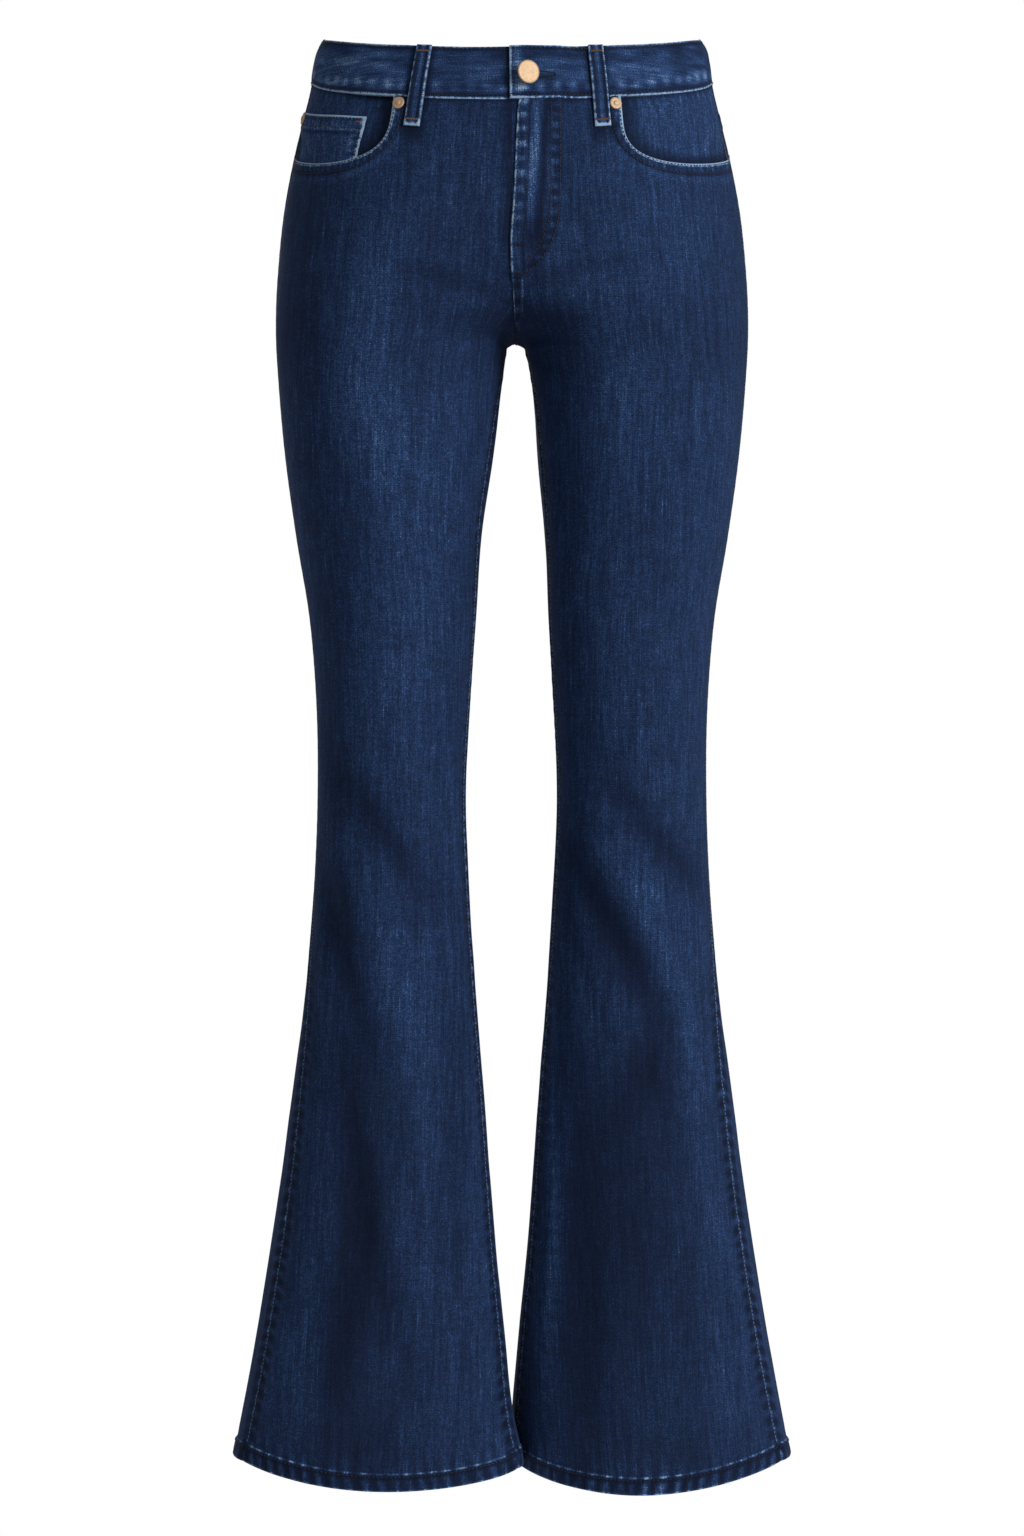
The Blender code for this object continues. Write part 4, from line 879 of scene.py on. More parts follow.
def denim(name, tone_shift):
    """Dark indigo twill: diagonal ribs, upright slubs, pale flecks, wear on its raised places, and painted
    light and shade.
    """
    look = bpy.context.scene.jeans_denim
    finish = Finish(name)
    cloth = finish.attribute("cloth")["Vector"]
    wear, line, shine, inside = (finish.attribute(key)["Fac"] for key in ("wear", "line", "shine", "inside"))
    rib, cross = 2 * math.pi / look.rib_width, 0.72 * math.pi / look.rib_width
    twill = finish.stripes(cloth, (rib * math.cos(look.rib_angle), rib * math.sin(look.rib_angle), 0.0))
    lattice = finish.product(finish.stripes(cloth, (cross, cross * 0.8, 0.0)),
                             finish.stripes(cloth, (cross, -cross * 0.8, 0.0)))
    noises = {kind: finish.noise(cloth, (1 / over, 1 / along, 1.0), detail, rough)
              for kind, (over, along, detail, rough, _) in WEAVE.items()}

    def part(kind, amount):
        return finish.product(finish.math("SUBTRACT", noises[kind], 0.5), amount)

    def above(kind, level, amount):
        return finish.product(finish.math("SUBTRACT", noises[kind], level, clamp=True), amount)

    # Tone: the wear, together with the painted shade and painted light that the pieces carry in the same
    # attribute.
    tone = finish.math("MULTIPLY_ADD", wear, look.wear_and_shade_strength, look.base_tone + tone_shift)
    tone = finish.total(tone, *(part(kind, row[-1]) for kind, row in WEAVE.items() if row[-1]),
                        finish.product(twill, TWILL_TONE), finish.product(lattice, LATTICE_TONE))
    tick = finish.math("MULTIPLY_ADD", noises["tick"], 1.5, 0.20)
    near = finish.node("MapRange", {"Value": line, "From Min": WORN_REACH, "From Max": 0.0, "To Min": 0.0,
                                    "To Max": 1.0}, interpolation_type="SMOOTHSTEP").outputs["Result"]
    worn = finish.product(finish.product(near, shine), tick)
    tone = finish.total(tone, above("slub", 0.66, 0.9), above("grain", 0.68, 0.3), worn)
    tone = finish.math("ADD", tone, 0.0, clamp=True)
    outer = finish.ramp(tone, (0.0, look.deep), (0.28, look.dark), (0.50, look.middle), (0.74, look.light),
                        (1.0, look.pale))
    lining = finish.ramp(tone, (0.1, look.reverse_dark), (0.9, look.reverse_light))
    colour = finish.node("Mix", {"Factor": inside, 6: outer, 7: lining}, data_type="RGBA").outputs[2]
    finish.surface(Base_Color=colour, Roughness=finish.math("MULTIPLY_ADD", noises["grain"], 0.16, 0.76),
                   Specular_IOR_Level=look.gloss, Sheen_Weight=look.sheen, Sheen_Roughness=0.45,
                   Sheen_Tint=(0.30, 0.48, 1.0, 1.0))
    relief = finish.total(finish.product(twill, 0.22), part("slub", 0.9), part("weft", 0.3),
                          part("grain", 1.0))
    finish.bump(relief, 0.6, 0.00035)
    return finish.material


def thread(name, colour):
    """Spun sewing thread, with its twist."""
    finish = Finish(name)
    twist = finish.noise(finish.object_place(), (2600.0, 2600.0, 1500.0), 2.0, 0.6)
    shade = finish.math("MULTIPLY_ADD", twist, 0.9, -0.1)
    finish.surface(Base_Color=finish.ramp(shade, (0.15, [c * 0.55 for c in colour]),
                                          (0.85, [min(1, c * 1.35) for c in colour])), Roughness=0.62)
    finish.bump(twist, 0.5, 0.00008)
    return finish.material


def pale_gold(name):
    """Pale gold plating with a fine satin grain and slight tarnish."""
    look = bpy.context.scene.jeans_metal
    finish = Finish(name)
    place = finish.object_place()
    grain = finish.noise(place, (900.0, 900.0, 900.0), 3.0, 0.6)
    cloud = finish.noise(place, (160.0, 160.0, 160.0))
    tarnished = [c * 0.86 for c in look.colour]
    finish.surface(Base_Color=finish.ramp(cloud, (0.30, tarnished), (0.70, look.colour)),
                   Metallic=1.0, Roughness=finish.math("MULTIPLY_ADD", grain, 0.22, look.roughness))
    finish.bump(grain, 0.25, 0.00005)
    return finish.material


MADE = {}


def finish_named(name):
    """Each finish is made once."""
    if name not in MADE:
        kind, _, colour = name.partition("_")
        if kind == "denim":
            MADE[name] = denim(name, DENIM_TONES[name])
        elif kind == "thread":
            MADE[name] = thread(name, getattr(bpy.context.scene.jeans_stitching, colour))
        else:
            MADE[name] = pale_gold(name)
    return MADE[name]


# ------------------------------ marks
#
# What sewing and wear add, with painted shade beside the belt loops, under edges and laps, and along sunk
# stitch rows. Distances on the cloth are in metres. The sizes of strips, steps, worn lines and relief are in
# millimetres, and tones are shares of the way from dark to pale cloth.

def strip(distance, at, breadth):
    """1 along a line, falling to nothing on both sides."""
    return hump(distance * MM_PER_M, at, breadth)


def within(distance, start, end):
    """1 up to start, and 0 past end."""
    return 1 - eased(distance * MM_PER_M, start, end)


class Marks:
    """Relief, broad wear with painted light and shade, and worn lines on a grid of cloth."""

    FAR = 0.05

    def __init__(self, shape):
        self.relief, self.wear, self.shine = np.zeros(shape), np.zeros(shape), np.zeros(shape)
        self.line = np.full(shape, self.FAR)

    def add(self, relief=0.0, wear=0.0):
        self.relief = self.relief + relief / MM_PER_M
        self.wear = self.wear + wear

    def worn_line(self, distance, at, shine, breadth=1.0):
        """A pale worn line at this distance."""
        distance = np.broadcast_to(np.abs(distance - at / MM_PER_M) / breadth, self.line.shape)
        nearer = distance < self.line
        self.line = np.where(nearer, distance, self.line)
        self.shine = np.where(nearer, shine, self.shine)

    def looks(self):
        """What the finish reads at each place."""
        return {"wear": self.wear, "line": self.line, "shine": self.shine}


class Patch(Marks):
    """A grid of places on one face of one half, with its marks."""

    def __init__(self, side, face, across, height):
        self.side, self.face, self.body = side, face, form(side, face)
        self.across, self.height = np.broadcast_arrays(across, height)
        self.over = self.body.from_side(self.across, self.height)
        self.from_inner = self.body.length(self.height) - self.over
        super().__init__(self.height.shape)

    def place(self, lift=0.0):
        return self.body.place(self.across, self.height, self.relief + lift)

    def weave(self):
        """The weave's own places: metres across and along the cloth, kept apart from piece to piece."""
        over = (self.over - self.body.crease(self.height)) * self.side * self.face
        apart = np.full(over.shape, 0.37 * self.side + 0.91 * self.face)
        return np.stack([over, self.height, apart], axis=-1)

    def grid(self, lift, weave):
        points, normals = self.place(lift)
        plain = self.body.plain(self.across, self.height)[0]
        return {"points": points, "normals": normals, "plain": plain, "cloth": weave, **self.looks()}

    def lay(self, node, finish, slot, thickness=CLOTH, lift=0.0, apart=0.0):
        lay_cloth(node, self.grid(lift, self.weave() + apart), thickness, finish)


def mark_seams(patch):
    """A panel's two long seams: sunk, with a pressed allowance behind, and puckered."""
    pucker = MM_PER_M * bpy.context.scene.jeans_cloth.pucker_depth
    height = patch.height
    flare = eased(-height, 0.52, 0.80)
    hip = 1 - eased(-height, 0.10, 0.20)
    in_leg = eased(-height, WAIST_TO_CROTCH - 0.004, WAIST_TO_CROTCH + 0.02)
    edges = ((patch.over, 0.20 + 0.80 * flare + 0.10 * hip), (patch.from_inner, 0.15 + 0.85 * in_leg))
    for number, (distance, strength) in enumerate(edges):
        wave = ripple(height + 0.30 * distance, "seam", 7 * patch.side + 2 * patch.face + number)
        patch.add(pucker * strength * wave * strip(distance, 0, 8.5) - 0.6 * strip(distance, 0, 1.1),
                  strength * (0.44 * wave - 0.26) * strip(distance, 4.5, 4.2))
        if patch.face == BACK:
            patch.add(0.45 * within(distance, 8.5, 10.5), 0.10 * strip(distance, 9.2, 1.6))
        patch.worn_line(distance, 0.4, 0.26 * strength * (0.8 + 0.4 * wave))


def mark_hem(patch):
    """The turned-up hem, with the slanting ropes that washing leaves in it."""
    above = patch.height - hem_edge(patch.side, patch.face, patch.across)
    fold = MM_PER_M * HEM_FOLD
    on_hem = within(above, fold - 0.6, fold + 0.8)
    wave, light = roping(patch.over + 0.45 * above, "hem", 5 * patch.side + patch.face)
    middle = strip(above, fold * 0.45, fold * 0.46)
    # Painted shade along the stitch row, where the thread sinks into the hem.
    patch.add(MM_PER_M * HEM_OUT * on_hem + 0.36 * wave * middle + 0.26 * wave * strip(above, fold + 4, 5)
              - 0.55 * within(above, 0, 1.2),
              (0.34 * light - 0.08) * middle + 0.12 * wave * strip(above, fold + 5, 6)
              - 0.34 * strip(above, fold - 2.2, 1.7) * on_hem)
    patch.worn_line(above, fold + 0.2, 0.34 + 0.20 * wave)
    patch.worn_line(above, 0.4, 0.30 + 0.18 * light)


def mark_mouth(patch):
    """The front panel's turned edge round the hip pocket."""
    path_across, path_height = mouth_path(patch.side)
    gap, run = gap_to_path(patch.over, patch.height, patch.body.from_side(path_across, path_height),
                           path_height, 0.03)
    wave = ripple(run, "mouth", patch.side)
    light = roping(run, "mouth_light", patch.side)[1]
    turned_in = within(gap, 7.8, 9.4)
    # Painted shade along the inner stitch row, where the thread sinks in.
    patch.add(0.60 * turned_in + 0.20 * wave * strip(gap, 4.6, 3) - 0.55 * within(gap, 0, 0.9),
              0.30 * light * strip(gap, 5, 2.4) * (0.6 + 0.8 * light) - 0.10 * turned_in
              - 0.14 * strip(gap, 8.4, 1.2) + 0.08 * strip(gap, 12.5, 3) + 0.26 * strip(gap, 0.4, 1.7))
    patch.worn_line(gap, 0.8, 0.80 + 0.08 * wave, 2.1)


def mark_centre(patch):
    """The front's centre seam, from the fly's end to the crotch."""
    if patch.side == RIGHT:
        # Painted shadow on the right panel along the centre, under the edge of the fly's lap.
        on_lap = 1 - eased(-patch.height, 0.150, 0.170)
        patch.add(0.0, -0.38 * on_lap * strip(patch.from_inner, 0, 3.5))
        return
    below_fly = eased(-patch.height, 0.158, 0.166) * (1 - eased(-patch.height, 0.207, 0.212))
    light = roping(patch.height, "centre")[1]
    patch.add(0.45 * within(patch.from_inner, 7, 8.4) * below_fly,
              below_fly * (0.24 * light + 0.04) * strip(patch.from_inner, 3.5, 3))
    for inset, shine, breadth in ((0.0005, 0.58, 1.2), (0.0078, 0.30, 1.0)):
        distance = np.where(below_fly > 0.5, patch.from_inner - inset, patch.FAR)
        patch.worn_line(distance, 0, shine * below_fly, breadth)


def mark_waist(patch):
    """The cloth just below the waistband: painted shadow at the seam under the band's edge, puckered under
    it, and painted shadow beside the loops.
    """
    below = band_bottom(patch.face, patch.across) - patch.height
    wave = ripple(patch.over, "waist", patch.side + patch.face)
    patch.add(0.0, 0.16 * wave * strip(below, 4.5, 4.5) - 0.26 * strip(below, 0, 2.2)
              + painted_loop_shadow(patch) * (below < BAND_WIDTH_SIDE))


def mark_leg(patch):
    """All that a leg panel has beyond its folds."""
    mark_seams(patch)
    mark_hem(patch)
    if patch.face == FRONT:
        mark_mouth(patch)
        mark_centre(patch)
        mark_waist(patch)
    else:
        below = yoke_seam(patch.across) - patch.height
        patch.add(0.0, 0.16 * ripple(patch.over, "yoke", patch.side) * strip(below, 0, 6))


def painted_loop_shadow(patch):
    """Painted shadow: darker cloth close beside each belt loop, where the loop shades it."""
    from_centre = patch.body.length(BAND_MEASURED_AT) - patch.body.from_side(patch.across, BAND_MEASURED_AT)
    down = band_top(patch.face, patch.across) - patch.height
    share = down / (BAND_WIDTH_SIDE + BAND_FRONT_WIDEN + LOOP_TAIL)
    shade = np.zeros(share.shape)
    for side, face, top_distance, bottom_distance in LOOPS.values():
        if (side, face) == (patch.side, patch.face):
            middle = top_distance + (bottom_distance - top_distance) * share
            beside = np.hypot(np.maximum(np.abs(from_centre - middle) - LOOP_WIDTH / 2, 0.0),
                              0.6 * np.maximum(share - 1, 0.0) * BAND_WIDTH_SIDE)
            shade = shade - 0.34 * strip(beside, 0, 3)
    return shade


def leg_fade(patch):
    """Where the cloth is washed lighter: down the middle of the thighs and shins, and on the seat."""
    fade = np.zeros(patch.height.shape)
    for tone, at_across, breadth, at_height, tall in FADES[patch.face]:
        fade = fade + tone * hump(patch.across, at_across, breadth) * hump(patch.height, at_height, tall)
    return fade


# ------------------------------ leg panels

def panel_rows(top, hem):
    """Row heights for each column: close at the top edge, round the crotch and over the hem."""
    start = top - np.array(TOP_ROWS)[:, None] / MM_PER_M
    step = bpy.context.scene.jeans_cloth.mesh_step
    count = int((start[-1].mean() - TOP_ZONE_END) / step) + 1
    zone = start[-1] + (TOP_ZONE_END - start[-1]) * np.linspace(0, 1, count + 1)[1:, None]
    over, under = CROTCH_ZONE - WAIST_TO_CROTCH, -WAIST_TO_CROTCH - CROTCH_ZONE
    above = np.linspace(TOP_ZONE_END, over, int((TOP_ZONE_END - over) / step) + 1)[1:]
    near = np.linspace(over, under, CROTCH_ZONE_ROWS)[1:]
    end = HEM_HEIGHT + HEM_ZONE
    below = np.linspace(under, end, int((under - end) / step) + 1)[1:]
    middle = np.repeat(np.concatenate([above, near, below])[:, None], len(top), axis=1)
    ends = hem + np.array(HEM_ROWS)[:, None] / MM_PER_M
    return even_steps(np.concatenate([start, zone, middle, ends]))


def front_columns(side):
    """Column places across a front panel: close at both seams and round the pocket's corner."""
    corner = MOUTH[side]["across"]
    turn = np.linspace(0, 1, 61)
    in_mouth = corner * (0.78 * np.sin(turn * math.pi / 2) + 0.22 * turn)
    in_mouth = np.unique(np.concatenate([[0, 0.002, 0.005, 0.009], in_mouth]))
    rest = corner + (1 - corner) * graded("front", FRONT_STEP_GROWTH)
    return even_steps(np.concatenate([in_mouth, rest[1:]]))


def build_panel(side, face):
    if face == FRONT:
        kind, columns = "front", front_columns(side)
        top = band_bottom(FRONT, columns) - WAIST_GAP - mouth_drop(side, columns)
        tuck = WAIST_TUCK * (columns > MOUTH[side]["across"])
    else:
        kind, columns = "back", graded("back")
        top, tuck = yoke_seam(columns) - SEAM_GAP, SEAM_GAP
    height = panel_rows(top, hem_edge(side, face, columns))
    height[0] += tuck  # on to the piece above, so that no light shows through the seam
    patch = Patch(side, face, columns, height)
    mark_leg(patch)
    folds = patch.body.folds(patch.across, height)
    # Painted shade and painted light from the table above, on top of the washed fades.
    painted_light_and_shade = fold_sum(PAINTED_LIGHT_AND_SHADE.get((side, face), ()), patch.across, height, patch.body.length(height), PERCENT)
    # The folds' tone: wear with painted light on the ridges and painted shade in the troughs.
    patch.add(0.0, leg_fade(patch) + np.clip(folds * FOLD_WEAR_AND_SHADE, *FOLD_WEAR_AND_SHADE_RANGE) + painted_light_and_shade)
    patch.lay(f"{kind}_{SIDE_NAMES[side]}", "denim_leg", f"denim_{kind}")


def build_yoke(side):
    columns = graded("yoke")
    top, bottom = band_bottom(BACK, columns) + WAIST_TUCK, yoke_seam(columns)
    height = top + (bottom - top) * graded("yoke_down")[:, None]
    patch = Patch(side, BACK, columns, height)
    mark_seams(patch)
    above = height - bottom
    wave, light = roping(patch.over, "yoke", side)
    patch.add(0.45 * within(above, 8.5, 10) + 0.16 * wave * strip(above, 4.5, 3.5)
              - 0.45 * within(above, 0, 1),
              0.22 * light * strip(above, 4.5, 3.6))
    patch.worn_line(above, 0.4, 0.50 * eased(patch.over, 0.004, 0.020))
    mark_waist(patch)
    patch.lay(f"yoke_{SIDE_NAMES[side]}", "denim_leg", "denim_yoke")


# ------------------------------ pockets and fly

def build_pocket_facing(side):
    columns = MOUTH[side]["across"] * MOUTH_UNDERLAP * np.sin(np.linspace(0, math.radians(83), 71))
    top = band_bottom(FRONT, columns) + WAIST_TUCK
    drop = mouth_drop(side, columns, MOUTH_UNDERLAP) + WAIST_TUCK
    patch = Patch(side, FRONT, columns, top - drop * np.linspace(0, 1, 61)[:, None])
    level = mouth_level(side, patch.across, patch.height)
    # Painted shade: darker where the facing passes in under the front panel's turned edge, and on the right
    # one towards the centre.
    patch.add(MM_PER_M * facing_lift(side, patch.across, patch.height),
              0.02 - 0.40 * eased(level, 0.84, 1.0) - FACING_SHADE[side] * eased(patch.over, 0.040, 0.062))
    mark_waist(patch)
    patch.worn_line(patch.over, 0.4, 0.10)
    patch.lay(f"pocket_facing_{SIDE_NAMES[side]}", "denim_pocket", "denim_facing")


def coin_edges(columns, share):
    """The coin pocket's top edge and its bottom, at shares of its width."""
    seam = band_bottom(FRONT, columns)
    return (seam - COIN_POCKET_DROP + COIN_POCKET_RISE * share,
            seam - mouth_drop(RIGHT, columns, COIN_POCKET_END))


def coin_lift(across, height):
    return facing_lift(RIGHT, across, height) + COIN_POCKET_GAP + COIN_POCKET_CLOTH


def build_coin_pocket():
    rows, share = graded("coin_down")[:, None], graded("coin")
    bow = rows + 0.42 * np.sin(math.pi * rows) * eased(rows, 0.18, 0.5)
    columns = (COIN_POCKET_ACROSS - COIN_POCKET_NARROWING * bow) * share
    top, bottom = coin_edges(columns, share)
    height = top + (bottom - top) * rows
    inset = (SEAM_GAP / 2) / form(RIGHT, FRONT).length(height)
    patch = Patch(RIGHT, FRONT, inset + (1 - inset) * columns, height)
    edge, below = patch.over[:, -1:] - patch.over, top - height
    wave, light = roping(height, "coin")
    # Painted shade along the upper stitch row and just below the raised, turned top.
    patch.add(0.40 * within(below, 10.5, 11.8) + 0.4 * wave * strip(edge, 0, 5)
              - 0.4 * within(np.minimum(below, edge), 0, 1),
              0.08 + 0.16 * light * strip(edge, 4.5, 4) - 0.12 * strip(below, 2.6, 1.4)
              + 0.14 * ripple(patch.over, "coin_top") * strip(below, 6, 4) - 0.24 * strip(below, 12.8, 1.2)
              + 0.16 * strip(below, 10.2, 1.4) + 0.22 * strip(edge, 8.5, 3) * strip(below, 20, 6)
              + 0.30 * strip(edge, 2, 2.2) * within(below, 4, 9))
    patch.worn_line(below, 0.6, 0.66, 1.7)
    patch.worn_line(edge, 0.5, 0.62 + 0.20 * wave, 1.6)
    patch.lay("coin_pocket", "denim_pocket", "denim_trim", COIN_POCKET_CLOTH, coin_lift(patch.across, height))


def fly_width(height):
    """The lap's width, how far its edge lies from the centre, and the share of its height gone by."""
    top = band_bottom(FRONT, 1.0) - WAIST_GAP
    curve = np.clip((FLY_CURVE_START - height) / (FLY_CURVE_START - FLY_BOTTOM), 0, 0.97)
    share = np.clip((top - height) / (top - FLY_BOTTOM), 0, 1)
    edge = FLY_EDGE_TOP + (FLY_EDGE_BOTTOM - FLY_EDGE_TOP) * np.sqrt(share)
    return FLY_WIDTH * np.sqrt(1 - curve**2), edge, share


def fly_lift(share):
    """The lap's outer face, which settles on to the panel at its stitched curve."""
    return LAYER_GAP + FLY_THICKNESS * (1 - 0.80 * eased(share, 0.80, 1.0))


def build_fly():
    body = form(LEFT, FRONT)
    top = band_bottom(FRONT, 1.0) + WAIST_TUCK
    height = top + (FLY_BOTTOM - top) * np.linspace(0, 1, 121)[:, None]
    width, inset, share = fly_width(height)
    columns = graded("fly")[::-1]
    distance = inset + (width - inset) * columns
    across = body.at_centre_distance(distance, height)
    height = height + (band_bottom(FRONT, across) - band_bottom(FRONT, 1.0)) * (1 - share)
    patch = Patch(LEFT, FRONT, body.at_centre_distance(distance, height), height)
    edge, curve = distance - inset, width - distance
    wave, light = roping(height, "fly")
    upper = 1 - eased(-height, 0.135, 0.150)
    patch.add(MM_PER_M * fly_lift(columns) + 0.34 * wave * strip(edge, 4, 3)
              - 0.5 * within(edge, 0, 1)
              + 0.45 * within(edge, 6.8, 8.2) + 0.7 * strip(edge, 16, 6) * upper)
    # Painted shade just past the second stitch row, below the raised edge's step.
    patch.add(0.0, (0.26 * light + 0.10) * upper * strip(edge, 4.4, 3.4)
              - 0.26 * strip(edge, 8.8, 1)
              + 0.32 * strip(edge, 13.5, 4.8) * hump(height, -0.088, 0.044)
              - 0.30 * strip(edge, 20.5, 3.4) * upper
              + 0.20 * strip(edge, 26.2, 2.8) * hump(height, -0.096, 0.030)
              - 0.30 * strip(edge, 17, 8) * hump(height, -0.147, 0.014)
              + (0.22 * roping(height, "fly_curve")[1] - 0.02) * strip(curve, 4.8, 3.4)
              - 0.10 * within(curve, 8.5, 10.5))
    patch.worn_line(edge, 0.5, 0.48 + 0.16 * wave, 1.2)
    patch.lay("fly", "denim_trim", "denim_trim", FLY_THICKNESS * 0.7)


def back_pocket_places(side, columns, rows):
    """Places at shares across and down a patch pocket, with its depth and its width there."""
    point = 1 - np.abs(2 * columns - 1)
    drop = BACK_POCKET_SIDE_DROP + (BACK_POCKET_POINT_DROP - BACK_POCKET_SIDE_DROP) * point
    height = BACK_POCKET_TOP + BACK_POCKET_TILT * columns - drop * rows
    taper = (BACK_POCKET_TAPER - 1) * np.minimum(rows * drop / BACK_POCKET_SIDE_DROP, 1.0)
    wide = BACK_POCKET_WIDTH * (1 + taper)
    distance = BACK_POCKET_MIDDLE + wide * (columns - 0.5)
    return form(side, BACK).at_distance(distance, height), height, drop, wide


def build_back_pocket(side):
    columns, rows = graded("pocket"), graded("pocket_down")[:, None]
    across, height, drop, wide = back_pocket_places(side, columns, rows)
    patch = Patch(side, BACK, across, height)
    to_top = rows * drop
    gap = np.minimum(np.minimum(columns, 1 - columns) * wide, (1 - rows) * drop)
    wave, light = roping(height + patch.over, "back_pocket", side)
    patch.add(MM_PER_M * (BACK_POCKET_LIFT + CLOTH) + 0.30 * within(gap, 7.5, 8.8)
              + 0.6 * within(to_top, 22.5, 24) + 0.14 * wave * strip(gap, 4.2, 2.6)
              - 0.55 * within(np.minimum(gap, to_top), 0, 1.2),
              0.22 * light * strip(gap, 4.5, 3) + 0.12 * wave * strip(to_top, 12, 8)
              + 0.08 * hump(columns, 0.5, 0.3) * hump(rows, 0.5, 0.35))
    patch.worn_line(gap, 0.4, 0.42)
    patch.worn_line(to_top, 0.4, 0.50)
    patch.lay(f"back_pocket_{SIDE_NAMES[side]}", "denim_trim", "denim_trim", apart=BACK_POCKET_WEAVE)


# ------------------------------ waistband and belt loops

def mark_band(patch, run, seed):
    """The waistband between its two edges."""
    below, above = (band_top(patch.face, patch.across) - patch.height,
                    patch.height - band_bottom(patch.face, patch.across))
    wave, fine = ripple(run, "band", seed), ripple(run, "band_edge", seed)
    # Painted shade along both stitch rows, where the thread sinks into the band.
    patch.add(-0.60 * within(below, 0, 1.3) - 0.40 * within(above, 0, 1)
              + 0.20 * wave * strip(below, 4.2, 3.4) - 0.24 * strip(below, 2.1, 0.8)
              + 0.26 * wave * strip(above, 7, 5) - 0.24 * strip(above, 2.6, 0.9)
              + 0.30 * soft_noise(run / 0.030, below / 0.009, seed + 2),
              0.06 + (0.12 + 0.20 * wave) * strip(above, 8.5, 4.2) + 0.07 * strip(below, 16, 6)
              + 0.16 * soft_noise(run / 0.016, below / 0.0040, seed + 3) - 0.08 * strip(below, 7.5, 4)
              - 0.30 * strip(above, 3, 1.3) - 0.26 * strip(below, 2.6, 1.3))
    patch.worn_line(below, 0.4, 0.36 + 0.18 * fine)
    patch.worn_line(above, 0.4, 0.52 + 0.22 * fine, 1.1)
    # Painted shadow beside the belt loops.
    patch.add(0.0, painted_loop_shadow(patch))


def lay_band(node, stretches, seed):
    """Joins stretches of band, in order round the body, into one piece.

    Each has its side, its face, its columns, its lift, and its distance from the piece's worn end or None.
    """
    grids, start = [], 0.0
    for side, face, columns, lift, from_end in stretches:
        top, bottom = band_top(face, columns), band_bottom(face, columns)
        patch = Patch(side, face, columns, top + (bottom - top) * graded("band_down")[:, None])
        plain = patch.body.plain(patch.across, patch.height)[0]
        steps = np.linalg.norm(np.diff(plain[len(plain) // 2], axis=0), axis=-1)
        line = start + np.concatenate([[0], np.cumsum(steps)])
        start = line[-1]
        run = np.broadcast_to(line, patch.height.shape)
        mark_band(patch, run, seed)
        # Painted shadow on the right band's end, where the left band's tab laps over it; the tone also dips
        # gently near the centre and rises farther out.
        if node == "waistband_right":
            patch.add(0.0, -0.42 * strip(patch.from_inner, 0, 4.5) - 0.05 * strip(patch.from_inner, 30, 22)
                      + 0.12 * eased(patch.from_inner, 0.075, 0.100))
        if from_end is not None:
            patch.worn_line(from_end, 0.6, 0.50, 1.5)
            patch.add(-0.5 * within(from_end, 0, 1), 0.30 * strip(from_end, 6, 4))
        weave = np.stack([patch.height, run, np.full(run.shape, 3.0 + seed)], axis=-1)
        grids.append(patch.grid(lift, weave))
    joined = {key: np.concatenate([grid[key] for grid in grids], axis=1) for key in grids[0]}
    lay_cloth(node, joined, BAND_THICKNESS, "denim_band")


def band_lift(side, face, across):
    """How far the band lies out of the form: the left half laps over the right one's end."""
    lift = np.full(across.shape, BAND_OUT)
    if (side, face) == (LEFT, FRONT):
        start, full = (float(form(LEFT, FRONT).at_centre_distance(BAND_UNDERLAP + more, BAND_MEASURED_AT))
                       for more in (BAND_OVERLAP_EASE, SEAM_GAP))
        lift = lift + (BAND_THICKNESS + LAYER_GAP) * eased(across, start, full)
    return lift


def build_front_band(side):
    body = form(side, FRONT)
    columns = graded("band_front")
    to_centre = body.length(BAND_MEASURED_AT) - body.from_side(columns, BAND_MEASURED_AT)
    if side == LEFT:
        past, past_lift = np.array([0.0004, 0.0008, 0.0012, BAND_TAB_PAST_CENTRE]), LAP_LIFT
        ends = (BAND_TAB_PAST_CENTRE + to_centre, BAND_TAB_PAST_CENTRE - past)
    else:
        past, past_lift, ends = np.linspace(0, BAND_UNDERLAP, 23)[1:], BAND_OUT, (None, None)
    lapped = form(-side, FRONT).at_centre_distance(past, BAND_MEASURED_AT)
    lay_band(f"waistband_{SIDE_NAMES[side]}",
             ((side, FRONT, columns, band_lift(side, FRONT, columns), ends[0]),
              (-side, FRONT, lapped, past_lift, ends[1])), BAND_SEED + side)


def build_back_band():
    columns = graded("band_back")
    lay_band("waistband_back", ((RIGHT, BACK, columns, BAND_OUT, None),
                                (LEFT, BACK, columns[-2::-1], BAND_OUT, None)), BAND_SEED + 10)


def loop_places(name, more=0.0):
    """A belt loop's places and normals, and the shares down and across it."""
    side, face, top_distance, bottom_distance = LOOPS[name]
    body = form(side, face)
    rows = even_steps(np.unique(np.concatenate([graded("loop_down"), [0.5]])))[:, None]
    shares = graded("loop")
    distance = top_distance + (bottom_distance - top_distance) * rows + LOOP_WIDTH * (0.5 - shares)
    held = np.minimum(body.at_centre_distance(distance, BAND_MEASURED_AT), 1.0)
    top = band_top(face, held)
    bottom = band_bottom(face, held) - LOOP_TAIL
    height = top + (bottom - top) * rows
    seam_share = 1 - LOOP_TAIL / float((top - bottom).mean())
    lift = BAND_OUT + LAYER_GAP + LOOP_BOW * np.sin(math.pi * np.clip(rows / seam_share, 0, 1))
    settle = eased(rows, seam_share + 0.02, 0.93)
    lift = lift * (1 - settle) + LAYER_GAP * settle + LOOP_THICKNESS
    points, normals = body.place(held, height, lift + more)
    points[..., 0] -= side * np.maximum(-distance, 0.0)
    return points, normals, rows[:, 0], shares


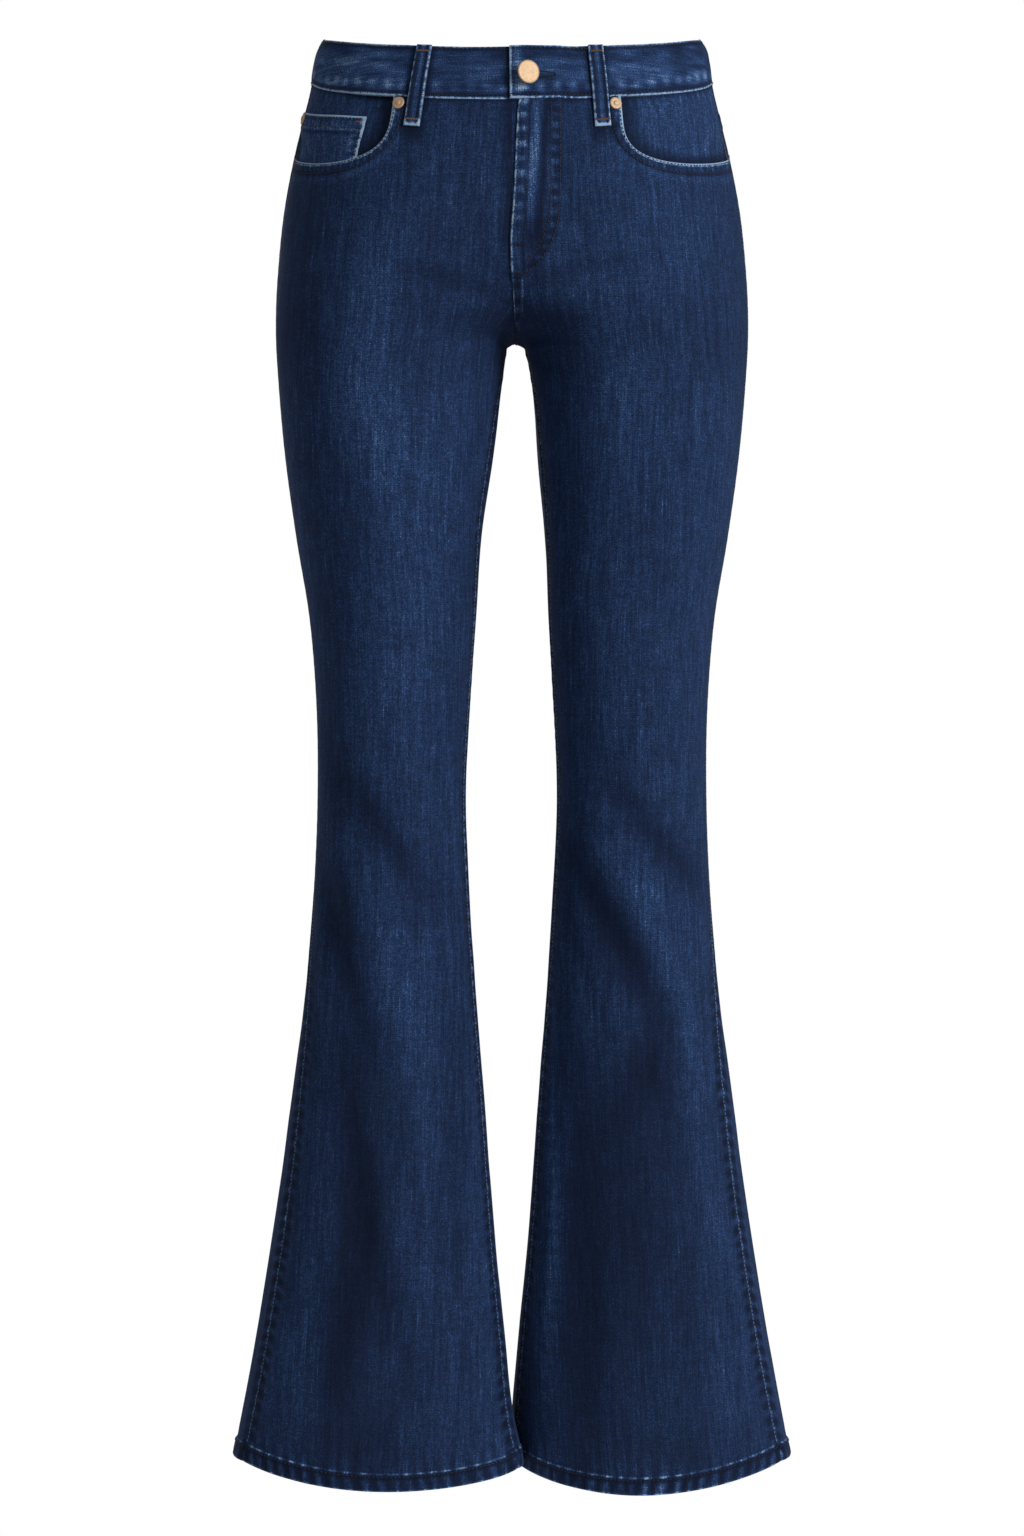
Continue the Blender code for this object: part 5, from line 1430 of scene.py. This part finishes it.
def build_belt_loop(name):
    points, normals, rows, shares = loop_places(name)
    to_edge = np.minimum(shares, 1 - shares) * LOOP_WIDTH
    to_end, to_tail = rows[:, None] * LOOP_LENGTH, (1 - rows[:, None]) * LOOP_LENGTH
    run = np.broadcast_to(to_end, points.shape[:2])
    wave = ripple(run, "loop", len(name))
    marks = Marks(points.shape[:2])
    # Painted shade along the two stitch rows, where the thread sinks in.
    marks.add(0.25 * strip(to_edge, 1.2, 1.1) - 0.45 * within(to_edge, 0, 0.9) - 0.3 * within(to_tail, 0, 1)
              + 0.35 * within(to_tail, 6, 7.5) + 0.25 * within(to_end, 5, 6.5),
              0.16 * strip(to_edge, MM_PER_M * LOOP_WIDTH / 2, 1.8) - 0.30 * strip(to_edge, 2.4, 1.2)
              + 0.05 * wave + 0.62 * strip(to_tail, 0.8, 2.4) * strip(to_edge, 0.8, 2.2))
    marks.worn_line(to_edge, 0.5, 0.44 + 0.16 * wave, 1.3)
    marks.worn_line(to_tail, 0.6, 0.66, 1.5)
    marks.worn_line(to_end, 0.3, 0.28)
    weave = np.stack([np.broadcast_to(shares * LOOP_WIDTH, run.shape), run,
                      np.full(run.shape, 5.0 + len(name))], axis=-1)
    points = points + normals * marks.relief[..., None]
    grid = {"points": points, "normals": normals, "plain": points, "cloth": weave, **marks.looks()}
    lay_cloth(name, grid, LOOP_THICKNESS * 0.9, "denim_trim")


# ------------------------------ metal

def ring_faces(rings, count):
    """Faces between rings of vertices, where a ring of one is a tip."""
    faces = []
    for low, high in zip(rings, rings[1:]):
        for step in range(count):
            following = (step + 1) % count
            quad = (low[step % len(low)], low[following % len(low)],
                    high[following % len(high)], high[step % len(high)])
            faces.append(tuple(dict.fromkeys(quad)))
    return faces


def turned(name, profile, place, stem, lean, segments):
    """A round metal piece: (radius, height) pairs turned about a stem. Rings above zero lean."""
    vertices, rings = [], []
    for radius, height in profile:
        axis = stem if height < 0.0 else lean
        first = unit(np.cross((0.0, 0.0, 1.0), axis))
        second = np.cross(axis, first)
        count = 1 if radius == 0.0 else segments
        rings.append(range(len(vertices), len(vertices) + count))
        for turn in 2 * math.pi * np.arange(count) / segments:
            outward = first * math.cos(turn) + second * math.sin(turn)
            vertices.append(place + axis * height + outward * radius)
    return add_piece(name, vertices, ring_faces(rings, segments), "pale_gold",
                     smooth_angle=35.0)


def metal_place(side, distance, height, lift):
    body = form(side, FRONT)
    return body.place(body.at_centre_distance(distance, height), height, lift)


def build_button():
    height = band_top(FRONT, 1.0) - BUTTON_BELOW_TOP
    foot, normal = metal_place(LEFT, BUTTON_OUT_FROM_CENTRE, height, BAND_OUT + LAYER_GAP)
    leaning = np.array((math.sin(BUTTON_TILT), -math.cos(BUTTON_TILT), 0.0))
    radius, stem = BUTTON_DIAMETER / 2, BUTTON_STEM / 2
    stem_height = BAND_THICKNESS + LAYER_GAP * 2 + radius * math.sin(BUTTON_TILT) + BUTTON_CLEAR
    profile = [(0.0, -stem_height), (stem, -stem_height), (stem, -0.0001)]
    profile += [(radius * share, BUTTON_HEAD * rise) for share, rise in BUTTON_PROFILE]
    piece = turned("waist_button", profile, foot + normal * stem_height, normal, leaning, 96)
    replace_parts(piece, "button")


def build_rivets():
    places = {}
    for side in SIDES:
        body = form(side, FRONT)
        corner = MOUTH[side]["across"]
        level = band_bottom(FRONT, corner) - RIVET_BELOW_BAND
        distance = body.length(level) - body.from_side(corner, level) - RIVET_PAST_MOUTH
        places[f"rivet_{SIDE_NAMES[side]}"] = (side, distance, level, LAYER_GAP)
    level = band_bottom(FRONT, 0.0) - COIN_RIVET_BELOW_BAND
    distance = form(RIGHT, FRONT).length(level) - COIN_RIVET_FROM_SIDE
    places["rivet_coin_pocket"] = (RIGHT, distance, level, COIN_POCKET_CLOTH + COIN_POCKET_GAP + LAYER_GAP)
    profile = [(RIVET_DIAMETER / 2 * share, RIVET_HEIGHT * rise) for share, rise in RIVET_PROFILE]
    for node, where in places.items():
        place, normal = metal_place(*where)
        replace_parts(turned(f"{node}_cap", profile, place, normal, normal, 56), node)


# ------------------------------ stitching

class Stitches:
    """Stitches of one thread, gathered row by row and then made as one mesh."""

    AROUND = 5
    RINGS = ((-0.5, 0.0), (-0.42, 0.75), (-0.15, 1.0), (0.15, 1.0), (0.42, 0.75), (0.5, 0.0))
    FLATNESS = 0.75

    def __init__(self, thread):
        self.finish, self.rows = f"thread_{thread}", []

    def row(self, places, pitch=None, length=None, width=None):
        """A row of stitches along a line of places on the cloth."""
        points, normals = places[:2]
        look = bpy.context.scene.jeans_stitching
        pitch, length, width = pitch or look.pitch, length or look.length, width or look.width
        run = np.concatenate([[0], np.cumsum(np.linalg.norm(np.diff(points, axis=0), axis=1))])
        count = max(int(run[-1] / pitch), 1)
        middles = (np.arange(count) + 0.5) * run[-1] / count
        ends = [np.stack([np.interp(middles + offset, run, values[:, k]) for k in range(3)], axis=1)
                for offset, values in ((-length / 2, points), (length / 2, points), (0.0, normals))]
        self.rows.append((*ends, np.full((count, 1), width)))

    def bar(self, places, along, tack):
        """A bar tack: close stitches side by side, square to the bar's length."""
        length, breadth, count, width = tack
        centre, normal = (np.reshape(part, 3) for part in places)
        along = unit(np.array(along))
        half = np.cross(normal, along) * breadth / 2
        middles = centre + along * length * np.linspace(-0.5, 0.5, count)[:, None]
        self.rows.append((middles - half, middles + half, np.tile(normal, (count, 1)),
                          np.full((count, 1), width)))

    def make(self, name, slot):
        first, second, normal, width = (np.concatenate(part) for part in zip(*self.rows))
        length = np.linalg.norm(second - first, axis=1, keepdims=True)
        along = (second - first) / length
        over = unit(np.cross(along, unit(normal)))
        up = np.cross(over, along)
        turn = 2 * math.pi * np.arange(self.AROUND) / self.AROUND
        circle = over[:, None] * np.cos(turn)[:, None] + up[:, None] * np.sin(turn)[:, None] * self.FLATNESS
        vertices, rings, each = [], [], 0
        for share, swell in self.RINGS:
            centre = (first + second) / 2 + along * length * share + up * (width * (0.40 * swell - 0.10))
            ring = centre[:, None] + (circle * (width / 2 * swell)[:, None] if swell else 0.0)
            rings.append(range(each, each + ring.shape[1]))
            each += ring.shape[1]
            vertices.append(ring)
        pattern = ring_faces(rings, self.AROUND)
        faces = [tuple(index + each * number for index in face)
                 for number in range(len(first)) for face in pattern]
        return add_piece(name, np.concatenate(vertices, axis=1).reshape(-1, 3), faces, self.finish)


def on_panel(side, face, across, height, lift=0.0):
    """Places on a finished leg panel, and their normals."""
    patch = Patch(side, face, across, height)
    mark_leg(patch)
    return patch.place(lift)


def stitch_seams():
    """Threads along the side seams, inseams and hems."""
    pale, navy = Stitches("pale"), Stitches("navy")
    for side in SIDES:
        body = form(side, FRONT)
        height = np.linspace(-0.105, HEM_HEIGHT + 0.014, 700)
        across = body.at_distance(LONG_SEAM_INSET, height)
        pale.row(on_panel(side, FRONT, across, height, ON_SEAM), *SIDE_SEAM_STITCH)
        height = np.linspace(-WAIST_TO_CROTCH - 0.006, HEM_HEIGHT + 0.012, 700)
        across = body.at_centre_distance(LONG_SEAM_INSET, height)
        pale.row(on_panel(side, FRONT, across, height, ON_SEAM), *INSEAM_STITCH)
        across = np.linspace(0.004, 0.996, 400)
        for face in (FRONT, BACK):
            row = hem_edge(side, face, across) + HEM_FOLD - HEM_ROW_INSET
            navy.row(on_panel(side, face, across, row), *HEM_STITCH)
    pale.make("seam_threads", "denim_front")
    navy.make("hem_stitches", "denim_front")


def offset_path(path_over, path_height, distance):
    """A path moved square to itself on the flat cloth."""
    over, up = np.gradient(path_over), np.gradient(path_height)
    size = np.hypot(over, up)
    return path_over + up / size * distance, path_height - over / size * distance


def stitch_front_pockets():
    navy, brown, rust, coin = (Stitches(thread) for thread in ("navy", "brown", "rust", "navy"))
    for side in SIDES:
        body = form(side, FRONT)
        across, height = mouth_path(side, 240)
        over = body.from_side(across, height)
        for batch, distance in zip((navy, brown), INSETS["mouth"]):
            row_over, row_height = offset_path(over, height, distance)
            inside = (row_over > 0.0006) & (row_height < band_bottom(FRONT, across) - 0.0012)
            row_over, row_height = row_over[inside], row_height[inside]
            batch.row(on_panel(side, FRONT, body.at_distance(row_over, row_height), row_height))
        level = np.array([height[0] - 0.0048])
        place = on_panel(side, FRONT, body.at_distance(0.0100, level), level, ON_SEAM)
        rust.bar(place, (0.0, 0.0, 1.0), MOUTH_TACK)
    navy.make("pocket_stitches_navy", "denim_front")
    brown.make("pocket_stitches_brown", "denim_front")

    body = form(RIGHT, FRONT)
    for drop in INSETS["coin_top"]:
        share = np.linspace(0.02, 0.97, 90)
        across = share * COIN_POCKET_ACROSS
        height = coin_edges(across, share)[0] - drop
        coin.row(body.place(across, height, coin_lift(across, height) + ON_LAYER))
    rows = np.linspace(0.04, 0.92, 80)
    across = COIN_POCKET_ACROSS - COIN_POCKET_NARROWING * rows
    top, bottom = coin_edges(across, 1.0)
    height = top + (bottom - top) * rows
    across = body.at_distance(body.from_side(across, height) - COIN_SIDE_INSET, height)
    coin.row(body.place(across, height, coin_lift(across, height)))
    coin.make("coin_pocket_stitches", "denim_trim")
    across = np.array([COIN_POCKET_ACROSS * 0.955])
    level = coin_edges(across, 1.0)[0] - 0.0042
    rust.bar(body.place(across, level, coin_lift(across, level) + 0.0004), (1.0, -0.3, 0.0),
             COIN_TACK)
    rust.make("pocket_bar_tacks", "denim_trim")


def jay_path(inset, count=80):
    """A row of the fly's J, down from the waist seam: distances from the centre, and heights."""
    start, bottom, width = FLY_CURVE_START + inset * 0.2, FLY_BOTTOM + inset, FLY_WIDTH - inset
    turn = np.linspace(0, math.radians(84), count)[1:]
    distance = np.concatenate([np.full(count, width), width * np.cos(turn)])
    straight = np.linspace(band_bottom(FRONT, 0.9) - 0.0015, start, count)
    return distance, np.concatenate([straight, start + (bottom - start) * np.sin(turn)])


def stitch_fly():
    body = form(LEFT, FRONT)
    brown, navy, tacks = Stitches("brown"), Stitches("navy"), Stitches("navy")
    for inset in INSETS["jay"]:
        distance, height = jay_path(inset)
        lift = fly_lift((distance - 0.003) / (FLY_WIDTH - 0.003)) + 0.0001
        brown.row(body.place(body.at_centre_distance(distance, height), height, lift))
    height = np.linspace(band_bottom(FRONT, 1.0) - 0.003, -0.150, 160)
    on_lap = LAYER_GAP + FLY_THICKNESS + ON_LAYER
    for inset in INSETS["fly_edge"]:
        across = body.at_centre_distance(fly_width(height)[1] + inset, height)
        navy.row(body.place(across, height, on_lap))
    height = np.linspace(-0.178, -WAIST_TO_CROTCH - 0.001, 60)
    for distance in INSETS["rise"]:
        navy.row(on_panel(LEFT, FRONT, body.at_centre_distance(distance, height), height), *RISE_STITCH)
    brown.make("fly_stitches_brown", "denim_trim")
    navy.make("fly_stitches_navy", "denim_trim")
    for distance, level, tack in FLY_TACKS:
        place = body.place(body.at_centre_distance(distance, level), level, on_lap)
        tacks.bar(place, (1.0, 0.1, 0.0), tack)
    tacks.make("fly_bar_tacks", "denim_trim")


def stitch_band():
    navy = Stitches("navy")
    across = np.linspace(0.003, 0.998, 420)
    for side in SIDES:
        for face in (FRONT, BACK):
            lift = band_lift(side, face, across) - 0.0001
            for height in (band_top(face, across) - BAND_TOP_INSET,
                           band_bottom(face, across) + BAND_BOTTOM_INSET):
                navy.row(form(side, face).place(across, height, lift))
    body = form(LEFT, FRONT)
    height = np.linspace(band_top(FRONT, 1.0) - 0.002, band_bottom(FRONT, 1.0) + 0.002, 60)
    across = body.at_centre_distance(BAND_END_INSET, BAND_MEASURED_AT)
    navy.row(body.place(across, height, LAP_LIFT - 0.0001), *BAND_END_STITCH)
    navy.make("waistband_stitches", "denim_waistband")


def stitch_buttonhole():
    """Close stitches along both sides of the keyhole buttonhole, drawing in towards its far end."""
    batch, body = Stitches("navy"), form(LEFT, FRONT)
    height = band_top(FRONT, 1.0) - BUTTON_BELOW_TOP
    eye = BUTTONHOLE_EYE * 0.35
    for upper in (1, -1):
        for share in np.linspace(0, 1, 26):
            distance = BUTTON_OUT_FROM_CENTRE + eye + (BUTTONHOLE_LENGTH - eye) * share
            half = 0.0026 * (1 - share) ** 0.8 + 0.0007
            across = body.at_centre_distance(distance, height)
            batch.bar(body.place(across, height + upper * half, LAP_LIFT + 0.0001), (1.0, 0.0, 0.0),
                      BUTTONHOLE_STITCH)
    batch.make("buttonhole_stitches", "denim_waistband")


def stitch_loops():
    navy, rust = Stitches("navy"), Stitches("rust")
    for name in LOOPS:
        points, normals, rows, shares = loop_places(name, ON_SEAM)
        inside = (rows > 0.02) & (rows < 0.97)
        for wanted in (0.17, 0.83):
            column = np.argmin(np.abs(shares - wanted))
            navy.row((points[inside, column], normals[inside, column]), *LOOP_STITCH)
        middle = np.argmin(np.abs(shares - 0.5))
        for wanted in (0.075, 0.925):
            row = np.argmin(np.abs(rows - wanted))
            point, normal = points[row, middle], normals[row, middle]
            rust.bar((point + normal * ON_LAYER, normal), points[row, -1] - points[row, 0], LOOP_TACK)
    navy.make("belt_loop_stitches", "denim_trim")
    rust.make("belt_loop_bar_tacks", "denim_trim")


def stitch_back():
    navy = Stitches("navy")
    for side in SIDES:
        body = form(side, BACK)
        across = np.linspace(0.003, 0.995, 300)
        for above in INSETS["yoke"]:
            navy.row(body.place(across, yoke_seam(across) + above, 0.0005))
        if side == LEFT:
            height = np.linspace(band_bottom(BACK, 1.0) - 0.004, -WAIST_TO_CROTCH - 0.002, 300)
            for distance in INSETS["seat"]:
                navy.row(on_panel(side, BACK, body.at_centre_distance(distance, height), height, ON_SEAM))
        for inset in INSETS["back_pocket"]:
            start, end = inset / BACK_POCKET_WIDTH, 1 - inset / BACK_POCKET_SIDE_DROP
            columns = np.concatenate([np.full(120, start), np.linspace(start, 1 - start, 160),
                                      np.full(120, 1 - start)])
            down = np.linspace(0.01, end, 120)
            rows = np.concatenate([down, np.full(160, end), down[::-1]])
            navy.row(on_pocket(side, columns, rows))
        for drop in INSETS["back_pocket_top"]:
            navy.row(on_pocket(side, np.linspace(0.015, 0.985, 160), drop / BACK_POCKET_POINT_DROP))
    navy.make("back_stitches", "denim_back")


def on_pocket(side, columns, rows):
    across, height = back_pocket_places(side, columns, rows)[:2]
    return form(side, BACK).place(across, height, BACK_POCKET_LIFT + CLOTH + ON_LAYER)


# ------------------------------ settings

class JeansCloth(bpy.types.PropertyGroup):
    """Sizes of the cloth's form."""

    mesh_step: bpy.props.FloatProperty(
        name="Mesh step", description="Distance between rows of a leg's mesh", default=0.0022, unit="LENGTH")
    crease_strength: bpy.props.FloatProperty(
        name="Crease strength", description="How deep the small creases are", default=1.0, subtype="FACTOR")
    pucker_depth: bpy.props.FloatProperty(
        name="Pucker depth", description="Height of the puckers along the seams",
        default=0.00034, unit="LENGTH")


class JeansDenim(bpy.types.PropertyGroup):
    """Colours and weave of the denim."""

    deep: bpy.props.FloatVectorProperty(
        name="Deep", description="Unworn cloth and thread in shade",
        default=(0.0042, 0.0088, 0.0270), subtype="COLOR")
    dark: bpy.props.FloatVectorProperty(
        name="Dark", description="Unworn indigo", default=(0.0080, 0.0175, 0.0500), subtype="COLOR")
    middle: bpy.props.FloatVectorProperty(
        name="Middle", description="Washed indigo", default=(0.0150, 0.0352, 0.1000), subtype="COLOR")
    light: bpy.props.FloatVectorProperty(
        name="Light", description="Worn ridges", default=(0.0418, 0.0987, 0.2550), subtype="COLOR")
    pale: bpy.props.FloatVectorProperty(
        name="Pale", description="Worn edges", default=(0.3300, 0.4800, 0.6700), subtype="COLOR")
    reverse_dark: bpy.props.FloatVectorProperty(
        name="Reverse, dark", description="Dark threads on the inside",
        default=(0.045, 0.062, 0.100), subtype="COLOR")
    reverse_light: bpy.props.FloatVectorProperty(
        name="Reverse, light", description="Pale threads on the inside",
        default=(0.20, 0.24, 0.31), subtype="COLOR")
    base_tone: bpy.props.FloatProperty(
        name="Tone", description="Where plain cloth lies between deep and pale",
        default=0.435, subtype="FACTOR")
    # Scales the wear together with its painted light and shade.
    wear_and_shade_strength: bpy.props.FloatProperty(
        name="Wear", description="How much wear lightens the cloth", default=0.90, subtype="FACTOR")
    gloss: bpy.props.FloatProperty(
        name="Gloss", description="Shine of the cloth", default=0.10, subtype="FACTOR")
    sheen: bpy.props.FloatProperty(
        name="Sheen", description="Soft gloss of the brushed surface", default=0.06, subtype="FACTOR")
    rib_width: bpy.props.FloatProperty(
        name="Rib width", description="From one twill rib to the next", default=0.00095, unit="LENGTH")
    rib_angle: bpy.props.FloatProperty(
        name="Rib angle", description="Slant of the twill ribs", default=math.radians(-28.0), subtype="ANGLE")


class JeansStitching(bpy.types.PropertyGroup):
    """Threads and stitch sizes."""

    pitch: bpy.props.FloatProperty(
        name="Pitch", description="From one stitch to the next", default=0.0031, unit="LENGTH")
    length: bpy.props.FloatProperty(
        name="Length", description="Length of a stitch", default=0.0023, unit="LENGTH")
    width: bpy.props.FloatProperty(
        name="Width", description="Thickness of the thread", default=0.00078, unit="LENGTH")
    navy: bpy.props.FloatVectorProperty(
        name="Navy", description="Main thread", default=(0.0040, 0.0050, 0.0130), subtype="COLOR")
    brown: bpy.props.FloatVectorProperty(
        name="Brown", description="Second thread", default=(0.0170, 0.0065, 0.0080), subtype="COLOR")
    pale: bpy.props.FloatVectorProperty(
        name="Pale", description="Thread of the long seams", default=(0.19, 0.27, 0.40), subtype="COLOR")
    rust: bpy.props.FloatVectorProperty(
        name="Rust", description="Thread of the bar tacks", default=(0.26, 0.11, 0.040), subtype="COLOR")


class JeansMetal(bpy.types.PropertyGroup):
    """Finish of the button and rivets."""

    colour: bpy.props.FloatVectorProperty(
        name="Colour", description="Pale gold plating", default=(0.76, 0.56, 0.37), subtype="COLOR")
    roughness: bpy.props.FloatProperty(
        name="Roughness", description="Satin of the plating", default=0.58, subtype="FACTOR")


class JeansStage(bpy.types.PropertyGroup):
    """Floor, light and camera."""

    floor_drop: bpy.props.FloatProperty(
        name="Floor drop", description="From the waist down to the floor", default=1.30, unit="LENGTH")
    floor_radius: bpy.props.FloatProperty(
        name="Floor radius", description="Radius of the round floor", default=0.72, unit="LENGTH")
    floor_glow: bpy.props.FloatProperty(
        name="Floor glow", description="Light that passes up through the floor's paper",
        default=0.25, subtype="FACTOR")
    camera_distance: bpy.props.FloatProperty(
        name="Camera distance", description="From the garment's middle plane", default=2.4, unit="LENGTH")
    camera_height: bpy.props.FloatProperty(
        name="Camera height", description="Height of the level camera", default=-0.5343, unit="LENGTH")
    picture_height: bpy.props.FloatProperty(
        name="Picture height", description="What the picture spans at the garment",
        default=1.16736, unit="LENGTH")
    key_power: bpy.props.FloatProperty(
        name="Key power", description="Power of the main light", default=100.0, unit="POWER")
    fill_power: bpy.props.FloatProperty(
        name="Fill power", description="Power of the second light", default=2.0, unit="POWER")
    back_power: bpy.props.FloatProperty(
        name="Back power", description="Power of the light behind", default=30.0, unit="POWER")
    sky: bpy.props.FloatProperty(
        name="Sky", description="Light from all round", default=0.27, subtype="FACTOR")


SETTINGS = {"jeans_cloth": JeansCloth, "jeans_denim": JeansDenim, "jeans_stitching": JeansStitching,
            "jeans_metal": JeansMetal, "jeans_stage": JeansStage}


# ------------------------------ operators

class JEANS_OT_front_panels(bpy.types.Operator):
    """Make both front leg panels"""

    bl_idname = "jeans.front_panels"
    bl_label = "Front panels"

    def execute(self, context):
        for side in SIDES:
            build_panel(side, FRONT)
        return {"FINISHED"}


class JEANS_OT_back_panels(bpy.types.Operator):
    """Make both back leg panels and the yoke"""

    bl_idname = "jeans.back_panels"
    bl_label = "Back panels and yoke"

    def execute(self, context):
        for side in SIDES:
            build_panel(side, BACK)
            build_yoke(side)
        return {"FINISHED"}


class JEANS_OT_front_pockets(bpy.types.Operator):
    """Make the hip pockets' facings and the coin pocket"""

    bl_idname = "jeans.front_pockets"
    bl_label = "Front pockets"

    def execute(self, context):
        for side in SIDES:
            build_pocket_facing(side)
        build_coin_pocket()
        return {"FINISHED"}


class JEANS_OT_fly(bpy.types.Operator):
    """Make the fly's lap"""

    bl_idname = "jeans.fly"
    bl_label = "Fly"

    def execute(self, context):
        build_fly()
        return {"FINISHED"}


class JEANS_OT_back_pockets(bpy.types.Operator):
    """Make the patch pockets on the seat"""

    bl_idname = "jeans.back_pockets"
    bl_label = "Back pockets"

    def execute(self, context):
        for side in SIDES:
            build_back_pocket(side)
        return {"FINISHED"}


class JEANS_OT_waistband(bpy.types.Operator):
    """Make the waistband's three pieces"""

    bl_idname = "jeans.waistband"
    bl_label = "Waistband"

    def execute(self, context):
        for side in SIDES:
            build_front_band(side)
        build_back_band()
        return {"FINISHED"}


class JEANS_OT_belt_loops(bpy.types.Operator):
    """Make the belt loops"""

    bl_idname = "jeans.belt_loops"
    bl_label = "Belt loops"

    def execute(self, context):
        for name in LOOPS:
            build_belt_loop(name)
        return {"FINISHED"}


class JEANS_OT_metal(bpy.types.Operator):
    """Make the waist button and the rivets"""

    bl_idname = "jeans.metal"
    bl_label = "Button and rivets"

    def execute(self, context):
        build_button()
        build_rivets()
        return {"FINISHED"}


class JEANS_OT_stitching(bpy.types.Operator):
    """Sew every row of stitches and every bar tack"""

    bl_idname = "jeans.stitching"
    bl_label = "Stitching"

    def execute(self, context):
        stitch_seams()
        stitch_front_pockets()
        stitch_fly()
        stitch_band()
        stitch_buttonhole()
        stitch_loops()
        stitch_back()
        return {"FINISHED"}


class JEANS_OT_stage(bpy.types.Operator):
    """Set up the pale floor, the soft light and the camera"""

    bl_idname = "jeans.stage"
    bl_label = "Stage"

    def execute(self, context):
        build_stage(context.scene)
        return {"FINISHED"}


def add_object(scene, name, data, place=(0.0, 0.0, 0.0)):
    made = bpy.data.objects.new(name, data)
    made.location = place
    scene.collection.objects.link(made)
    return made


def build_floor(scene, stage):
    turns = 2 * math.pi * np.arange(FLOOR_CORNERS) / FLOOR_CORNERS
    corners = [(stage.floor_radius * math.cos(turn), stage.floor_radius * math.sin(turn), -stage.floor_drop)
               for turn in turns]
    mesh = bpy.data.meshes.new("floor")
    mesh.from_pydata(corners, [], [tuple(range(FLOOR_CORNERS))])
    paper = Finish("floor_paper")
    place = paper.object_place()
    grain = paper.node("TexNoise", {"Vector": place, "Scale": 400.0, "Detail": 3.0, "Roughness": 0.5})
    colour = paper.ramp(grain.outputs[0], (0.3, (0.86, 0.86, 0.865)), (0.7, (0.90, 0.90, 0.905)))
    paper.surface(Base_Color=colour, Roughness=0.9, Emission_Color=WHITE, Emission_Strength=stage.floor_glow)
    mesh.materials.append(paper.material)
    add_object(scene, "floor", mesh)


def build_world(scene, stage):
    """Soft light from all round. The camera itself sees plain white."""
    world = scene.world = bpy.data.worlds.new("studio")
    world.use_nodes = True
    tree = world.node_tree
    path, choose = tree.nodes.new("ShaderNodeLightPath"), tree.nodes.new("ShaderNodeMixShader")
    tree.links.new(path.outputs["Is Camera Ray"], choose.inputs[0])
    shaders = (tree.nodes["Background"], tree.nodes.new("ShaderNodeBackground"))
    for number, (shader, strength) in enumerate(zip(shaders, (stage.sky, 1.0)), 1):
        shader.inputs["Color"].default_value = WHITE
        shader.inputs["Strength"].default_value = strength
        tree.links.new(shader.outputs[0], choose.inputs[number])
    tree.links.new(choose.outputs[0], tree.nodes["World Output"].inputs["Surface"])


def build_stage(scene):
    stage = scene.jeans_stage
    build_floor(scene, stage)
    build_world(scene, stage)
    for name, place, size in LIGHTS:
        data = bpy.data.lights.new(f"{name}_light", "AREA")
        data.shape, data.size, data.energy = "DISK", size, getattr(stage, f"{name}_power")
        light = add_object(scene, f"{name}_light", data, place)
        light.rotation_mode = "QUATERNION"
        light.rotation_quaternion = Vector(np.subtract(LIT_PLACE, place)).to_track_quat("-Z", "Y")

    data = bpy.data.cameras.new("camera")
    data.sensor_fit = "VERTICAL"
    data.sensor_width = data.sensor_height = SENSOR
    data.lens = SENSOR * stage.camera_distance / stage.picture_height
    data.clip_start, data.clip_end = 0.05, 200.0
    scene.camera = add_object(scene, "camera", data, (0.0, -stage.camera_distance, stage.camera_height))
    scene.camera.rotation_euler = (math.pi / 2, 0.0, 0.0)
    scene.view_settings.view_transform = "Standard"
    scene.view_settings.look = "None"


OPERATORS = (JEANS_OT_front_panels, JEANS_OT_back_panels, JEANS_OT_front_pockets, JEANS_OT_fly,
             JEANS_OT_back_pockets, JEANS_OT_waistband, JEANS_OT_belt_loops, JEANS_OT_metal,
             JEANS_OT_stitching, JEANS_OT_stage)


class JEANS_PT_sidebar(bpy.types.Panel):
    """The jeans' pieces, in the order in which they are made"""

    bl_label = "Jeans"
    bl_idname = "JEANS_PT_sidebar"
    bl_space_type = "VIEW_3D"
    bl_region_type = "UI"
    bl_category = "Jeans"

    def draw(self, context):
        for operator in OPERATORS:
            self.layout.operator(operator.bl_idname)
        for name, group in SETTINGS.items():
            box = self.layout.box()
            for setting in group.__annotations__:
                box.prop(getattr(context.scene, name), setting)


def register():
    for group in SETTINGS.values():
        bpy.utils.register_class(group)
    for name, group in SETTINGS.items():
        setattr(bpy.types.Scene, name, bpy.props.PointerProperty(type=group))
    for kind in OPERATORS + (JEANS_PT_sidebar,):
        bpy.utils.register_class(kind)


def unregister():
    for kind in (JEANS_PT_sidebar,) + OPERATORS[::-1]:
        bpy.utils.unregister_class(kind)
    for name in SETTINGS:
        delattr(bpy.types.Scene, name)
    for group in reversed(SETTINGS.values()):
        bpy.utils.unregister_class(group)


def main():
    register()
    for operator in OPERATORS:
        family, name = operator.bl_idname.split(".")
        getattr(getattr(bpy.ops, family), name)()


if __name__ == "__main__":
    main()
